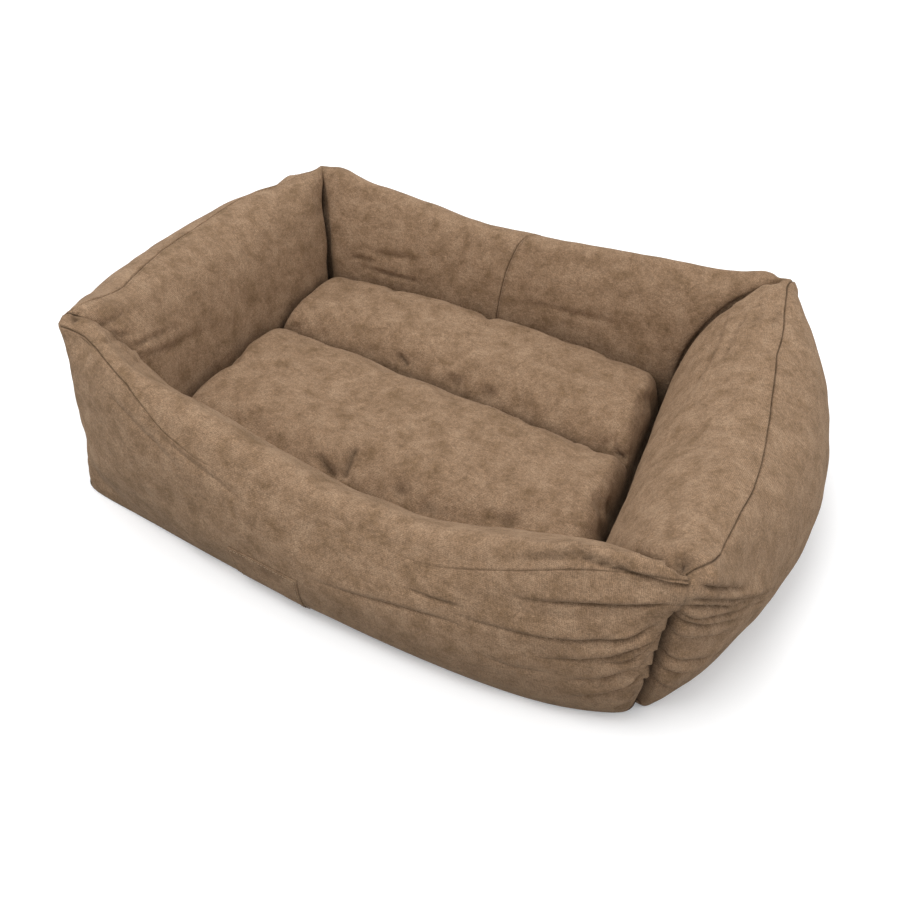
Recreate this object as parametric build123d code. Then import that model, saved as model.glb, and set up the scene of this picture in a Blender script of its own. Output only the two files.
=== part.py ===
from build123d import *
from math import asin, atan2, cos, pi, sin, sqrt
import os

# A soft bolster bed for a dog: four padded walls round a loose two-lobed cushion.
# All sizes are millimetres. X runs along the bed, Y to its back and Z up from the floor.

# Overall size, over the bellies of the walls
overall_length = 1024.0
overall_depth = 688.0

# Cloth, seams and running gaps
cloth_thickness = 1.2
lining_thickness = 1.0
cloth_gap = 0.4
mitre_gap = 0.6
crest_seam_step = 3.0
longest_step_share = 0.35
overrun = 1.0

# Floor of the basket
base_sheet_thickness = 1.6
base_wadding_thickness = 6.0
floor_edge_gap = 4.0

# How far the corners of the base line are drawn in from the overall length and depth
front_corner_draw_length = 108.0
back_corner_draw_length = 126.0
front_corner_draw_depth = 64.0
back_corner_draw_depth = 58.0
corner_belly = 13.0
corner_inner_belly = 8.0
tip_overhang = 8.0
tip_crown_radius = 6.0

# Thickness of the walls at the corners of the hollow, from the overall length and depth
front_wall_thickness = 127.0
back_wall_thickness = 113.0
left_wall_thickness = 172.0
right_wall_front_thickness = 200.0
right_wall_back_thickness = 248.0

# Heights of the four pulled-up corner tips
front_left_tip_height = 262.0
front_right_tip_height = 256.0
back_right_tip_height = 258.0
back_left_tip_height = 252.0

# Front wall: its crest sags in the middle
front_crest_height = 192.0
front_crest_inset_share = 0.31
front_crown_radius = 24.0
front_belly = 18.0
front_inner_belly = 9.0
front_hollow_bow = 14.0
front_dip_shares = [0.56, 0.44]
front_bow_power = 0.6
front_bow_lean = 0.4

# Back wall
back_crest_height = 222.0
back_crest_inset_share = 0.43
back_crown_radius = 26.0
back_belly = 18.0
back_inner_belly = 6.0
back_hollow_bow = 27.0
back_dip_shares = [0.6, 0.4]
back_bow_power = 1.0
back_bow_lean = 0.0

# Left wall
left_crest_height = 250.0
left_crest_inset_share = 0.41
left_crown_radius = 58.0
left_belly = 9.0
left_inner_belly = 6.0
left_hollow_bow = 6.0
left_dip_shares = [0.5, 0.5]
left_bow_power = 1.0
left_bow_lean = 0.0

# Right wall: the fattest, rolled in over the cushion
right_crest_height = 238.0
right_crest_inset_share = 0.42
right_crown_radius = 50.0
right_belly = 33.0
right_inner_belly = 9.0
right_hollow_bow = 4.0
right_dip_shares = [0.5, 0.5]
right_bow_power = 0.6
right_bow_lean = 0.28

# Places of the sections along every wall, and how often a search is repeated
wall_station_shares = [0.0, 0.12, 0.3, 0.5, 0.7, 0.88, 1.0]
halvings = 60
crown_fittings = 6

# Sewn patch low on the front wall
patch_length = 108.0
patch_height = 42.0
patch_thickness = 0.8
patch_centre_x = -72.0
patch_foot_height = 6.0

# Cushion
cushion_wall_gap = 3.0
cushion_floor_gap = 0.4
cushion_crown_height = 112.0
cushion_edge_height = 52.0
channel_floor_height = 64.0
channel_width = 5.0
channel_left_share = 0.62
channel_right_share = 0.55
rim_rise_shares = [0.70, 0.94]
rim_run_shares = [0.05, 0.20]
bank_rise_shares = [0.62, 0.90]
bank_run_shares = [0.08, 0.24]
cushion_flank_run = 34.0
flank_height_share = 0.6
flank_reach_share = 0.25
side_lean = 0.7
cushion_side_draw = 6.0
cushion_corner_round = 12.0
divider_thickness = 0.8
divider_clearance = 0.5
cushion_station_shares = [0.0, 0.04, 0.12, 0.3, 0.5, 0.7, 0.88, 0.96, 1.0]
cushion_swell_shares = [0.30, 0.76, 0.96, 1.0, 1.0, 1.0, 0.96, 0.76, 0.30]

# Zip in a recess in the cushion's underside, deep enough for its pull to hang in
zip_end_margin = 99.0
zip_back_margin = 62.0
recess_width = 30.0
recess_depth = 16.0
recess_end_room = 6.0
recess_fill_room = 2.0
tape_width = 14.0
tape_thickness = 0.7
chain_half_width = 2.2
tooth_reach = 0.9
tooth_length = 1.5
tooth_height = 2.4
tooth_pitch = 5.0
stop_length = 4.0
stop_width = 6.6
slider_length = 15.0
slider_width = 11.0
slider_plate_thickness = 1.2
slider_flange_width = 1.2
slider_running_gap = 0.35
lug_thickness = 1.0
lug_gap = 4.0
lug_length = 3.4
pull_pin_radius = 0.7
pull_pin_clearance = 0.08
pull_eye_radius = 1.4
pull_pin_drop = 1.9
pull_length = 11.0
pull_width = 7.0
pull_thickness = 1.0
pull_side_gap = 0.2
slider_head_room = 1.0


def between(first, last, share):
    """The point or size that lies a share of the way from first to last."""
    return first + (last - first) * share


def hump(share):
    """Nothing at both ends of a wall, one in its middle."""
    return 4 * share * (1 - share)


def ease(share):
    """A share that starts and stops gently, and goes no further than one."""
    share = min(share, 1)
    return share * share * (3 - 2 * share)


class Station:
    """An upright plane across a wall or a cushion, from one plan point to another."""

    def __init__(self, near, far):
        self.near = near
        self.width = (far - near).length
        self.across = (far - near).normalized()

    def place(self, flat_point):
        across, height = flat_point
        return self.near + self.across * across + Vector(0, 0, height)

    def face(self, edges):
        """A flat face from a closed run of two-point lines and three-point arcs."""
        placed = []
        for points in edges:
            corners = [self.place(point) for point in points]
            if len(corners) == 2:
                placed.append(Edge.make_line(*corners))
            else:
                placed.append(Edge.make_three_point_arc(*corners))
        return Face(Wire(placed))


class Arc:
    """The arc from a foot to a crest that bellies a set way out, with lines at any depth under it.

    side is -1 where the arc bellies towards the station's near point, and +1 where it
    bellies towards the far one.
    """

    def __init__(self, foot, belly, crest, side):
        self.side = side
        self.foot_height = foot[1]
        rise = crest[1] - foot[1]
        setback = side * (foot[0] - crest[0]) + belly
        self.radius = self.fitted_radius(rise, belly, setback)
        belly_height = self.half_chord(self.radius, belly)
        self.centre = (foot[0] + side * (belly - self.radius), foot[1] + belly_height)

    def half_chord(self, radius, depth):
        return sqrt(depth * (2 * radius - depth))

    def fitted_radius(self, rise, belly, setback):
        """The radius that puts foot and crest the right height apart, found by halving."""
        low = max(belly, setback) / 2
        high = rise * rise / belly
        for halving in range(halvings):
            radius = (low + high) / 2
            reached = self.half_chord(radius, belly) + self.half_chord(radius, setback)
            if reached < rise:
                low = radius
            else:
                high = radius
        return radius

    def point(self, depth, angle):
        reach = self.radius - depth
        across = self.centre[0] + self.side * reach * cos(angle)
        return (across, self.centre[1] + reach * sin(angle))

    def touch_angle(self, crown):
        """Where the arc touches a circle that lies inside it."""
        return atan2(crown[1] - self.centre[1], self.side * (crown[0] - self.centre[0]))


class Section:
    """A wall's section: an outer and an inner arc, joined by a round crown."""

    def __init__(self, station, height, inset, belly, inner_belly, crown_radius):
        self.station = station
        self.crown_radius = crown_radius
        apex = height
        for fitting in range(crown_fittings):
            self.outer = Arc((0, foot_height), belly, (inset, apex), -1)
            self.inner = Arc((station.width, foot_height), inner_belly, (inset, apex), 1)
            self.crown = self.fitted_crown()
            apex += height - self.crown[1] - crown_radius

    def fitted_crown(self):
        """The centre of the circle that touches both arcs from inside."""
        outer_x, outer_z = self.outer.centre
        inner_x, inner_z = self.inner.centre
        outer_reach = self.outer.radius - self.crown_radius
        inner_reach = self.inner.radius - self.crown_radius
        apart_x = inner_x - outer_x
        apart_z = inner_z - outer_z
        apart = sqrt(apart_x ** 2 + apart_z ** 2)
        along = (outer_reach ** 2 - inner_reach ** 2 + apart ** 2) / (2 * apart)
        off = sqrt(outer_reach ** 2 - along ** 2)
        if apart_x > 0:
            off = -off
        return (outer_x + (along * apart_x + off * apart_z) / apart,
                outer_z + (along * apart_z - off * apart_x) / apart)

    def crown_point(self, side, depth, angle):
        reach = self.crown_radius - depth
        return (self.crown[0] + side * reach * cos(angle), self.crown[1] + reach * sin(angle))

    def line(self, arc, depth, step_back):
        """Two runs of three points, up the arc and on over its half of the crown."""
        foot = asin((foot_height - arc.centre[1]) / (arc.radius - depth))
        touch = arc.touch_angle(self.crown)
        top = pi / 2
        top -= min(step_back / self.crown_radius, (top - touch) * longest_step_share)
        up = [arc.point(depth, angle) for angle in (foot, (foot + touch) / 2, touch)]
        over = [self.crown_point(arc.side, depth, angle) for angle in ((touch + top) / 2, top)]
        return [up, [up[2]] + over]

    def band(self, arc, step_back):
        """A thin band of cloth over the arc and its half of the crown."""
        skin = self.line(arc, 0, step_back)
        back = turned(self.line(arc, cloth_thickness, step_back))
        edges = skin + [[skin[1][2], back[0][0]]] + back + [[back[1][2], skin[0][0]]]
        return self.station.face(edges)

    def filling(self):
        depth = cloth_thickness + cloth_gap
        left = self.line(self.outer, depth, 0)
        right = turned(self.line(self.inner, depth, 0))
        return self.station.face(left + right + [[right[1][2], left[0][0]]])


def turned(runs):
    """The same runs of points, from last to first."""
    return [list(reversed(points)) for points in reversed(runs)]


# Plan points of the corners, seen from above

half_length = overall_length / 2
half_depth = overall_depth / 2
front_corner_half_length = half_length - front_corner_draw_length
back_corner_half_length = half_length - back_corner_draw_length
front_corner_y = front_corner_draw_depth - half_depth
back_corner_y = half_depth - back_corner_draw_depth
outer_corners = {
    "front_left": Vector(-front_corner_half_length, front_corner_y, 0),
    "front_right": Vector(front_corner_half_length, front_corner_y, 0),
    "back_right": Vector(back_corner_half_length, back_corner_y, 0),
    "back_left": Vector(-back_corner_half_length, back_corner_y, 0),
}
hollow_left_x = left_wall_thickness - half_length
hollow_front_y = front_wall_thickness - half_depth
hollow_back_y = half_depth - back_wall_thickness
hollow_corners = {
    "front_left": Vector(hollow_left_x, hollow_front_y, 0),
    "front_right": Vector(half_length - right_wall_front_thickness, hollow_front_y, 0),
    "back_right": Vector(half_length - right_wall_back_thickness, hollow_back_y, 0),
    "back_left": Vector(hollow_left_x, hollow_back_y, 0),
}
tip_heights = {
    "front_left": front_left_tip_height,
    "front_right": front_right_tip_height,
    "back_right": back_right_tip_height,
    "back_left": back_left_tip_height,
}
foot_height = base_sheet_thickness + cloth_gap
floor_top = base_sheet_thickness + base_wadding_thickness + lining_thickness


class Wall:
    """One padded wall, from the corner on its left to the one on its right, seen from inside."""

    def __init__(self, start, end, outward, bows, bellies, crest, dip_shares, bow_form):
        self.start = start
        self.end = end
        self.outward = outward
        self.outer_bow, self.hollow_bow = bows
        self.belly, self.inner_belly = bellies
        self.crest_height, self.crest_inset_share, self.crown_radius = crest
        self.dip_shares = dip_shares
        self.bow_power, self.bow_lean = bow_form
        self.shares = wall_station_shares
        self.along = (outer_corners[end] - outer_corners[start]).normalized()

    def bowed(self, share):
        """How far out the foot line is, fuller towards its ends and leaning to one of them."""
        lean = 1 + self.bow_lean * (2 * share - 1)
        return self.outer_bow * hump(share) ** self.bow_power * lean

    def near(self, share):
        line = between(outer_corners[self.start], outer_corners[self.end], share)
        return line + self.outward * self.bowed(share)

    def station(self, share):
        """The upright plane that crosses the wall there, mitred at the wall's two ends."""
        inset = self.along * (mitre_gap / 2 * (1 - 2 * share))
        far = between(hollow_corners[self.start], hollow_corners[self.end], share)
        far = far + self.outward * (hump(share) * self.hollow_bow)
        return Station(self.near(share) + inset, far + inset)

    def dip(self, share):
        """How far the crest has come down from its tips, from nothing to one."""
        first, last = self.dip_shares
        return ease(share / first) * ease((1 - share) / last)

    def section(self, share):
        station = self.station(share)
        swell = hump(share)
        tip = between(tip_heights[self.start], tip_heights[self.end], share)
        tips_mean = (tip_heights[self.start] + tip_heights[self.end]) / 2
        height = tip - (tips_mean - self.crest_height) * self.dip(share)
        spread = (self.outer_bow + self.belly - corner_belly) * swell - self.bowed(share)
        inset = (station.width + spread) * self.crest_inset_share
        inset = between(-tip_overhang, inset, swell) - spread
        belly = between(corner_belly, self.belly, swell)
        inner_belly = between(corner_inner_belly, self.inner_belly, swell)
        crown_radius = between(tip_crown_radius, self.crown_radius, sqrt(swell))
        return Section(station, height, inset, belly, inner_belly, crown_radius)

    def outer_band(self, share):
        section = self.section(share)
        return section.band(section.outer, 0)

    def inner_band(self, share):
        section = self.section(share)
        return section.band(section.inner, crest_seam_step)

    def outer_cover(self):
        return loft([self.outer_band(share) for share in self.shares])

    def inner_cover(self, first=0.0, last=1.0):
        shares = [between(first, last, share) for share in wall_station_shares]
        return loft([self.inner_band(share) for share in shares])

    def fill(self):
        return loft([self.section(share).filling() for share in self.shares])

    def take_stations_of_halves(self):
        """Crosses the wall at the places where the covers of its two halves are crossed."""
        right_half = [share / 2 for share in wall_station_shares]
        left_half = [(1 + share) / 2 for share in wall_station_shares[1:]]
        self.shares = right_half + left_half


def make_walls():
    walls = plain_walls()
    walls["back"].take_stations_of_halves()
    return walls


def plain_walls():
    mean_corner_draw_length = (front_corner_draw_length + back_corner_draw_length) / 2
    right_bow = mean_corner_draw_length - right_belly
    left_bow = mean_corner_draw_length - left_belly
    front_bow = front_corner_draw_depth - front_belly
    back_bow = back_corner_draw_depth - back_belly
    return {
        "front": Wall("front_left", "front_right", Vector(0, -1, 0),
                      (front_bow, front_hollow_bow), (front_belly, front_inner_belly),
                      (front_crest_height, front_crest_inset_share, front_crown_radius),
                      front_dip_shares, (front_bow_power, front_bow_lean)),
        "right": Wall("front_right", "back_right", Vector(1, 0, 0),
                      (right_bow, right_hollow_bow), (right_belly, right_inner_belly),
                      (right_crest_height, right_crest_inset_share, right_crown_radius),
                      right_dip_shares, (right_bow_power, right_bow_lean)),
        "back": Wall("back_right", "back_left", Vector(0, 1, 0),
                     (back_bow, back_hollow_bow), (back_belly, back_inner_belly),
                     (back_crest_height, back_crest_inset_share, back_crown_radius),
                     back_dip_shares, (back_bow_power, back_bow_lean)),
        "left": Wall("back_left", "front_left", Vector(-1, 0, 0),
                     (left_bow, left_hollow_bow), (left_belly, left_inner_belly),
                     (left_crest_height, left_crest_inset_share, left_crown_radius),
                     left_dip_shares, (left_bow_power, left_bow_lean)),
    }


# Floor of the basket

def pulled_in(corner, inset):
    sign_x = 1 if corner.X > 0 else -1
    sign_y = 1 if corner.Y > 0 else -1
    return corner - Vector(sign_x * inset, sign_y * inset, 0)


def base_edge(wall):
    """The edge of the base sheet under one wall, which follows the wall's foot line."""
    return Edge.make_spline([wall.near(share) for share in wall.shares])


def floor_edge(wall):
    """The edge of a sheet inside the hollow, a small gap clear of the wall."""
    first = hollow_corners[wall.start]
    last = hollow_corners[wall.end]
    middle = between(first, last, 0.5) + wall.outward * (wall.hollow_bow - floor_edge_gap)
    ends = (pulled_in(first, floor_edge_gap), pulled_in(last, floor_edge_gap))
    return Edge.make_three_point_arc(ends[0], middle, ends[1])


def sheet(edges, bottom, thickness):
    outline = Pos(0, 0, bottom) * Face(Wire(edges))
    return extrude(outline, thickness, dir=(0, 0, 1))


def make_floor(walls):
    base_edges = [base_edge(wall) for wall in walls.values()]
    floor_edges = [floor_edge(wall) for wall in walls.values()]
    lining_bottom = base_sheet_thickness + base_wadding_thickness
    return {
        "base_sheet": sheet(base_edges, 0, base_sheet_thickness),
        "base_wadding": sheet(floor_edges, base_sheet_thickness, base_wadding_thickness),
        "floor_lining": sheet(floor_edges, lining_bottom, lining_thickness),
    }


# Patch on the front wall

def make_patch(front):
    """A small bare patch that lies on the outer cover and follows its curve."""
    start_x = outer_corners["front_left"].X
    end_x = outer_corners["front_right"].X
    faces = []
    for side in (-1, 0, 1):
        place_x = patch_centre_x + side * patch_length / 2
        section = front.section((place_x - start_x) / (end_x - start_x))
        faces.append(section.station.face(patch_edges(section.outer)))
    return loft(faces)


def patch_edges(arc):
    low = asin((foot_height + patch_foot_height - arc.centre[1]) / arc.radius)
    high = low + patch_height / arc.radius
    angles = (low, (low + high) / 2, high)
    back = [arc.point(-cloth_gap, angle) for angle in angles]
    skin = [arc.point(-cloth_gap - patch_thickness, angle) for angle in reversed(angles)]
    return [back, [back[2], skin[0]], skin, [skin[2], back[0]]]


# Cushion

cushion_bottom = floor_top + cushion_floor_gap
corner_room = corner_inner_belly + cushion_wall_gap
cushion_corners = {name: pulled_in(corner, corner_room) for name, corner in hollow_corners.items()}
cushion_back_left = cushion_corners["back_left"]
cushion_back_right = cushion_corners["back_right"]
zip_length = (cushion_back_right - cushion_back_left).length - 2 * zip_end_margin
zip_centre_x = (cushion_back_left.X + cushion_back_right.X) / 2
zip_centre_y = cushion_back_right.Y - zip_back_margin


def cushion_station(share, swell):
    """The plane across the cushion, drawn in at its corners and along its front edge."""
    near = between(cushion_corners["front_left"], cushion_corners["front_right"], share)
    far = between(cushion_corners["back_left"], cushion_corners["back_right"], share)
    round_off = cushion_corner_round * (1 - swell)
    draw = cushion_side_draw * hump(share)
    near = near + Vector(0, round_off + draw, 0)
    far = far + Vector(0, back_hollow_bow * hump(share) - round_off, 0)
    return Station(near, far)


def channel_place(station, share):
    return station.width * between(channel_left_share, channel_right_share, share)


def upper_side(first, crown, last, depth, run_shares, rise_shares):
    """Points up one side of a lobe: its foot, a point part-way, its shoulder and its crown.

    The foot may be at the cushion's rim or in the channel, and depth is measured inwards.
    """
    run = last - first[0]
    rise = crown - first[1]
    inward = 1 if run > 0 else -1
    part_way = (first[0] + run * run_shares[0] + inward * depth * side_lean,
                first[1] + rise * rise_shares[0] - depth * (1 - side_lean))
    shoulder = (first[0] + run * run_shares[1], first[1] + rise * rise_shares[1] - depth)
    return (first[0] + inward * depth, first[1]), part_way, shoulder


def cushion_profile(share, swell, depth):
    """The key points of a cushion's section, at a depth under its cover's skin."""
    station = cushion_station(share, swell)
    edge = cushion_edge_height
    crown = between(edge, cushion_crown_height, swell)
    valley = between(edge, channel_floor_height, swell)
    bottom = between(edge, cushion_bottom, swell) + depth
    channel = channel_place(station, share)
    front_middle = channel / 2
    rear_middle = (channel + station.width) / 2
    front_valley = (channel - channel_width / 2, valley - depth)
    rear_valley = (channel + channel_width / 2, valley - depth)
    rims = (rim_run_shares, rim_rise_shares)
    banks = (bank_run_shares, bank_rise_shares)
    run = cushion_flank_run * swell
    flank_height = between(edge, bottom, flank_height_share)
    flank_reach = run * flank_reach_share
    return {
        "front_rim": upper_side((0, edge), crown, front_middle, depth, *rims),
        "front_crown": (front_middle, crown - depth),
        "front_bank": upper_side(front_valley, crown, front_middle, depth, *banks),
        "rear_bank": upper_side(rear_valley, crown, rear_middle, depth, *banks),
        "rear_crown": (rear_middle, crown - depth),
        "rear_rim": upper_side((station.width, edge), crown, rear_middle, depth, *rims),
        "rear_flank": (station.width - depth - flank_reach, flank_height),
        "rear_bottom": (station.width - run, bottom),
        "front_flank": (depth + flank_reach, flank_height),
        "front_bottom": (run, bottom),
    }


def raised(point, height):
    return (point[0], point[1] + height)


def lobe_runs(profile, lobe, lift):
    """The top of one lobe from its rim to the channel: three arcs."""
    rim = profile[lobe + "_rim"]
    bank = profile[lobe + "_bank"]
    return [
        [raised(rim[0], lift), rim[1], rim[2]],
        [rim[2], profile[lobe + "_crown"], bank[2]],
        [bank[2], bank[1], bank[0]],
    ]


def top_runs(profile, lift):
    front = lobe_runs(profile, "front", lift)
    rear = turned(lobe_runs(profile, "rear", lift))
    return front + [[front[2][2], rear[0][0]]] + rear


def top_cover_face(share, swell):
    lift = cloth_gap / 2
    skin = top_runs(cushion_profile(share, swell, 0), lift)
    back = turned(top_runs(cushion_profile(share, swell, cloth_thickness), lift))
    edges = skin + [[skin[-1][-1], back[0][0]]] + back + [[back[-1][-1], skin[0][0]]]
    return cushion_station(share, swell).face(edges)


def bottom_runs(profile):
    drop = -cloth_gap / 2
    return [
        [raised(profile["rear_rim"][0], drop), profile["rear_flank"], profile["rear_bottom"]],
        [profile["rear_bottom"], profile["front_bottom"]],
        [profile["front_bottom"], profile["front_flank"], raised(profile["front_rim"][0], drop)],
    ]


def bottom_cover_face(share, swell):
    skin = bottom_runs(cushion_profile(share, swell, 0))
    back = turned(bottom_runs(cushion_profile(share, swell, cloth_thickness)))
    edges = skin + [[skin[-1][-1], back[0][0]]] + back + [[back[-1][-1], skin[0][0]]]
    return cushion_station(share, swell).face(edges)


def fill_lobe_face(share, swell, lobe):
    station = cushion_station(share, swell)
    inside = cushion_profile(share, swell, cloth_thickness + cloth_gap)
    room = divider_thickness / 2 + divider_clearance
    side = -1 if lobe == "front" else 1
    foot = (channel_place(station, share) + side * room, inside[lobe + "_bottom"][1])
    runs = lobe_runs(inside, lobe, 0)
    edges = runs + [
        [runs[2][2], foot],
        [foot, inside[lobe + "_bottom"]],
        [inside[lobe + "_bottom"], inside[lobe + "_flank"], runs[0][0]],
    ]
    return station.face(edges)


def divider_face(share, swell):
    """The strip sewn between top and bottom under the channel, which makes two chambers."""
    station = cushion_station(share, swell)
    inside = cushion_profile(share, swell, cloth_thickness + cloth_gap)
    channel = channel_place(station, share)
    low = inside["front_bottom"][1]
    high = between(cushion_edge_height, channel_floor_height, swell) - cloth_thickness - cloth_gap
    left = channel - divider_thickness / 2
    right = channel + divider_thickness / 2
    edges = [
        [(left, low), (left, high)],
        [(left, high), (right, high)],
        [(right, high), (right, low)],
        [(right, low), (left, low)],
    ]
    return station.face(edges)


def cushion_loft(face_at, *details):
    faces = []
    for share, swell in zip(cushion_station_shares, cushion_swell_shares):
        faces.append(face_at(share, swell, *details))
    return loft(faces)


def zip_block(length, width, low, high, centre_x=zip_centre_x, centre_y=zip_centre_y):
    """A block of the zip, between two heights over the cushion's underside."""
    centre = (centre_x, centre_y, cushion_bottom + (low + high) / 2)
    return Pos(*centre) * Box(length, width, high - low)


def make_cushion():
    recess_length = zip_length + 2 * recess_end_room
    hem = 2 * cloth_thickness
    wall_of_recess = zip_block(recess_length + hem, recess_width + hem, 0, recess_depth)
    hole = zip_block(recess_length, recess_width, -overrun, recess_depth + overrun)
    cover_bottom = cushion_loft(bottom_cover_face) + wall_of_recess - hole
    room = hem + 2 * cloth_gap + 2 * recess_fill_room
    room_top = recess_depth + tape_thickness + recess_fill_room
    fill_room = zip_block(recess_length + room, recess_width + room, 0, room_top)
    return {
        "cushion_cover_top": cushion_loft(top_cover_face),
        "cushion_cover_bottom": cover_bottom,
        "cushion_front_fill": cushion_loft(fill_lobe_face, "front"),
        "cushion_rear_fill": cushion_loft(fill_lobe_face, "rear") - fill_room,
        "cushion_divider": cushion_loft(divider_face),
    }


# Zip

chain_low = recess_depth + tape_thickness / 2 - tooth_height / 2
chain_high = chain_low + tooth_height


def make_tape(side):
    centre_y = zip_centre_y + side * (chain_half_width + tape_width / 2)
    length = zip_length + recess_end_room
    high = recess_depth + tape_thickness
    return zip_block(length, tape_width, recess_depth, high, centre_y=centre_y)


def make_teeth(side):
    """One row of teeth, half a pitch out of step with the other row."""
    count = int(zip_length / tooth_pitch) - 1
    width = chain_half_width + tooth_reach
    centre_y = zip_centre_y + side * (chain_half_width - width / 2)
    first_x = zip_centre_x - (count - 1) * tooth_pitch / 2 + side * tooth_pitch / 4
    teeth = []
    for number in range(count):
        centre_x = first_x + number * tooth_pitch
        teeth.append(zip_block(tooth_length, width, chain_low, chain_high, centre_x, centre_y))
    return Compound(teeth)


def make_stops():
    """Two clips that end the chain, one past each end of the teeth."""
    stops = []
    for side in (-1, 1):
        centre_x = zip_centre_x + side * (zip_length / 2 + stop_length / 4)
        stops.append(zip_block(stop_length / 2, stop_width, chain_low, recess_depth, centre_x))
    return Compound(stops)


slider_plate_high = chain_low - slider_running_gap
slider_plate_low = slider_plate_high - slider_plate_thickness
pin_height = slider_plate_low - pull_pin_drop
slider_centre_x = zip_centre_x + zip_length / 2 - slider_length / 2 - slider_head_room
pin_x = slider_centre_x + slider_length / 2 - lug_length / 2


def make_slider():
    """A plate under the teeth, a flange up each side and two lugs that carry the pull's pin."""
    plate = zip_block(slider_length, slider_width, slider_plate_low, slider_plate_high,
                      slider_centre_x)
    body = plate
    flange_high = recess_depth - slider_running_gap
    for side in (-1, 1):
        flange_y = zip_centre_y + side * (slider_width - slider_flange_width) / 2
        body += zip_block(slider_length, slider_flange_width, slider_plate_low, flange_high,
                          slider_centre_x, flange_y)
        lug_y = zip_centre_y + side * (lug_gap + lug_thickness) / 2
        lug_low = pin_height - pull_pin_radius
        body += zip_block(lug_length, lug_thickness, lug_low, slider_plate_low, pin_x, lug_y)
    return body


def pin_along_y(radius, length):
    centre = (pin_x, zip_centre_y, cushion_bottom + pin_height)
    return Pos(*centre) * Rot(90, 0, 0) * Cylinder(radius, length)


def make_slider_pin():
    return pin_along_y(pull_pin_radius, lug_gap)


def make_pull():
    """A short flat tab that swings on the slider's pin inside the recess."""
    eye_width = lug_gap - 2 * pull_side_gap
    eye = pin_along_y(pull_eye_radius, eye_width)
    low = pin_height - pull_thickness / 2
    high = pin_height + pull_thickness / 2
    neck_length = pull_length / 3
    neck = zip_block(neck_length, eye_width, low, high, pin_x - neck_length / 2)
    tab_length = pull_length - neck_length
    tab_x = pin_x - neck_length - tab_length / 2
    tab = zip_block(tab_length, pull_width, low, high, tab_x)
    hole = pin_along_y(pull_pin_radius + pull_pin_clearance, 2 * lug_gap)
    return eye + neck + tab - hole


def make_parts():
    walls = make_walls()
    parts = make_floor(walls)
    for name, wall in walls.items():
        parts[name + "_wall_fill"] = wall.fill()
        parts[name + "_outer_cover"] = wall.outer_cover()
    for name in ("front", "right", "left"):
        parts[name + "_inner_cover"] = walls[name].inner_cover()
    half_gap_share = mitre_gap / 2 / back_corner_half_length
    parts["back_inner_cover_right"] = walls["back"].inner_cover(last=0.5 - half_gap_share)
    parts["back_inner_cover_left"] = walls["back"].inner_cover(first=0.5 + half_gap_share)
    parts["front_patch"] = make_patch(walls["front"])
    parts.update(make_cushion())
    parts["zip_tape_front"] = make_tape(-1)
    parts["zip_tape_rear"] = make_tape(1)
    parts["zip_teeth_front"] = make_teeth(-1)
    parts["zip_teeth_rear"] = make_teeth(1)
    parts["zip_stops"] = make_stops()
    parts["zip_slider"] = make_slider()
    parts["zip_slider_pin"] = make_slider_pin()
    parts["zip_pull"] = make_pull()
    return parts


os.makedirs("parts", exist_ok=True)
for part_name, shape in make_parts().items():
    export_step(shape, f"parts/{part_name}.step")
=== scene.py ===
import bpy
import numpy as np
from math import asin, atan2, cos, exp, hypot, pi, sin, sqrt
from mathutils import Matrix, Vector, noise
from mathutils.bvhtree import BVHTree


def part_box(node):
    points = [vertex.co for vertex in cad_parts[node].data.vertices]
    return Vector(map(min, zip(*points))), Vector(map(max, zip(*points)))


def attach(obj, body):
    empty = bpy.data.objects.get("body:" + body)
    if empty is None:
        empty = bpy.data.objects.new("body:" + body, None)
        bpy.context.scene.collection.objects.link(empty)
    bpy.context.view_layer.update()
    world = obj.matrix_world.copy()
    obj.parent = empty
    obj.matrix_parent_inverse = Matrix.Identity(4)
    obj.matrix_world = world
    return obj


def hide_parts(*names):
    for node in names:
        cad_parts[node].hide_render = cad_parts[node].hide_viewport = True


# A soft bolster bed for a dog: four padded walls round a loose two-lobed cushion.
# All sizes are metres. X runs along the bed, Y to its back and Z up from the floor.

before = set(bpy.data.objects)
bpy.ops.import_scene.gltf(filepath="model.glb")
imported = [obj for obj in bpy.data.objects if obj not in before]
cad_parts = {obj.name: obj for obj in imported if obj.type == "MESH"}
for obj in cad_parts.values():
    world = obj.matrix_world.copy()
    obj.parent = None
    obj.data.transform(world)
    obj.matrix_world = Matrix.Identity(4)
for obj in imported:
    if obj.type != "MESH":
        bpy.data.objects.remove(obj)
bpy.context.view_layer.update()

# Overall size, over the bellies of the walls
half_length = 0.512
half_depth = 0.344

# Corners of the base line, drawn in from the overall length and depth
front_corner_draw_length = 0.108
back_corner_draw_length = 0.126
front_corner_draw_depth = 0.064
back_corner_draw_depth = 0.058
corner_belly = 0.013
corner_inner_belly = 0.008

# Thickness of the walls at the corners of the hollow
front_wall_thickness = 0.127
back_wall_thickness = 0.113
left_wall_thickness = 0.172
right_wall_front_thickness = 0.200
right_wall_back_thickness = 0.248

# Corner tips
tip_heights = {"front_left": 0.262, "front_right": 0.256, "back_right": 0.258, "back_left": 0.252}
tip_overhang = 0.008
tip_crown_radius = 0.009

# How far each wall's outer and inner foot lines bow out, and its bellies outside and inside
wall_bows = {"front": (0.046, 0.014), "right": (0.071, 0.004), "back": (0.040, 0.027),
             "left": (0.108, 0.006)}
wall_bellies = {"front": (0.018, 0.009), "right": (0.033, 0.009), "back": (0.018, 0.006),
                "left": (0.009, 0.006)}
bow_powers = {"front": 0.6, "right": 0.6, "back": 1.0, "left": 1.0}
bow_leans = {"front": 0.4, "right": 0.28, "back": 0.0, "left": 0.0}

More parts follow.
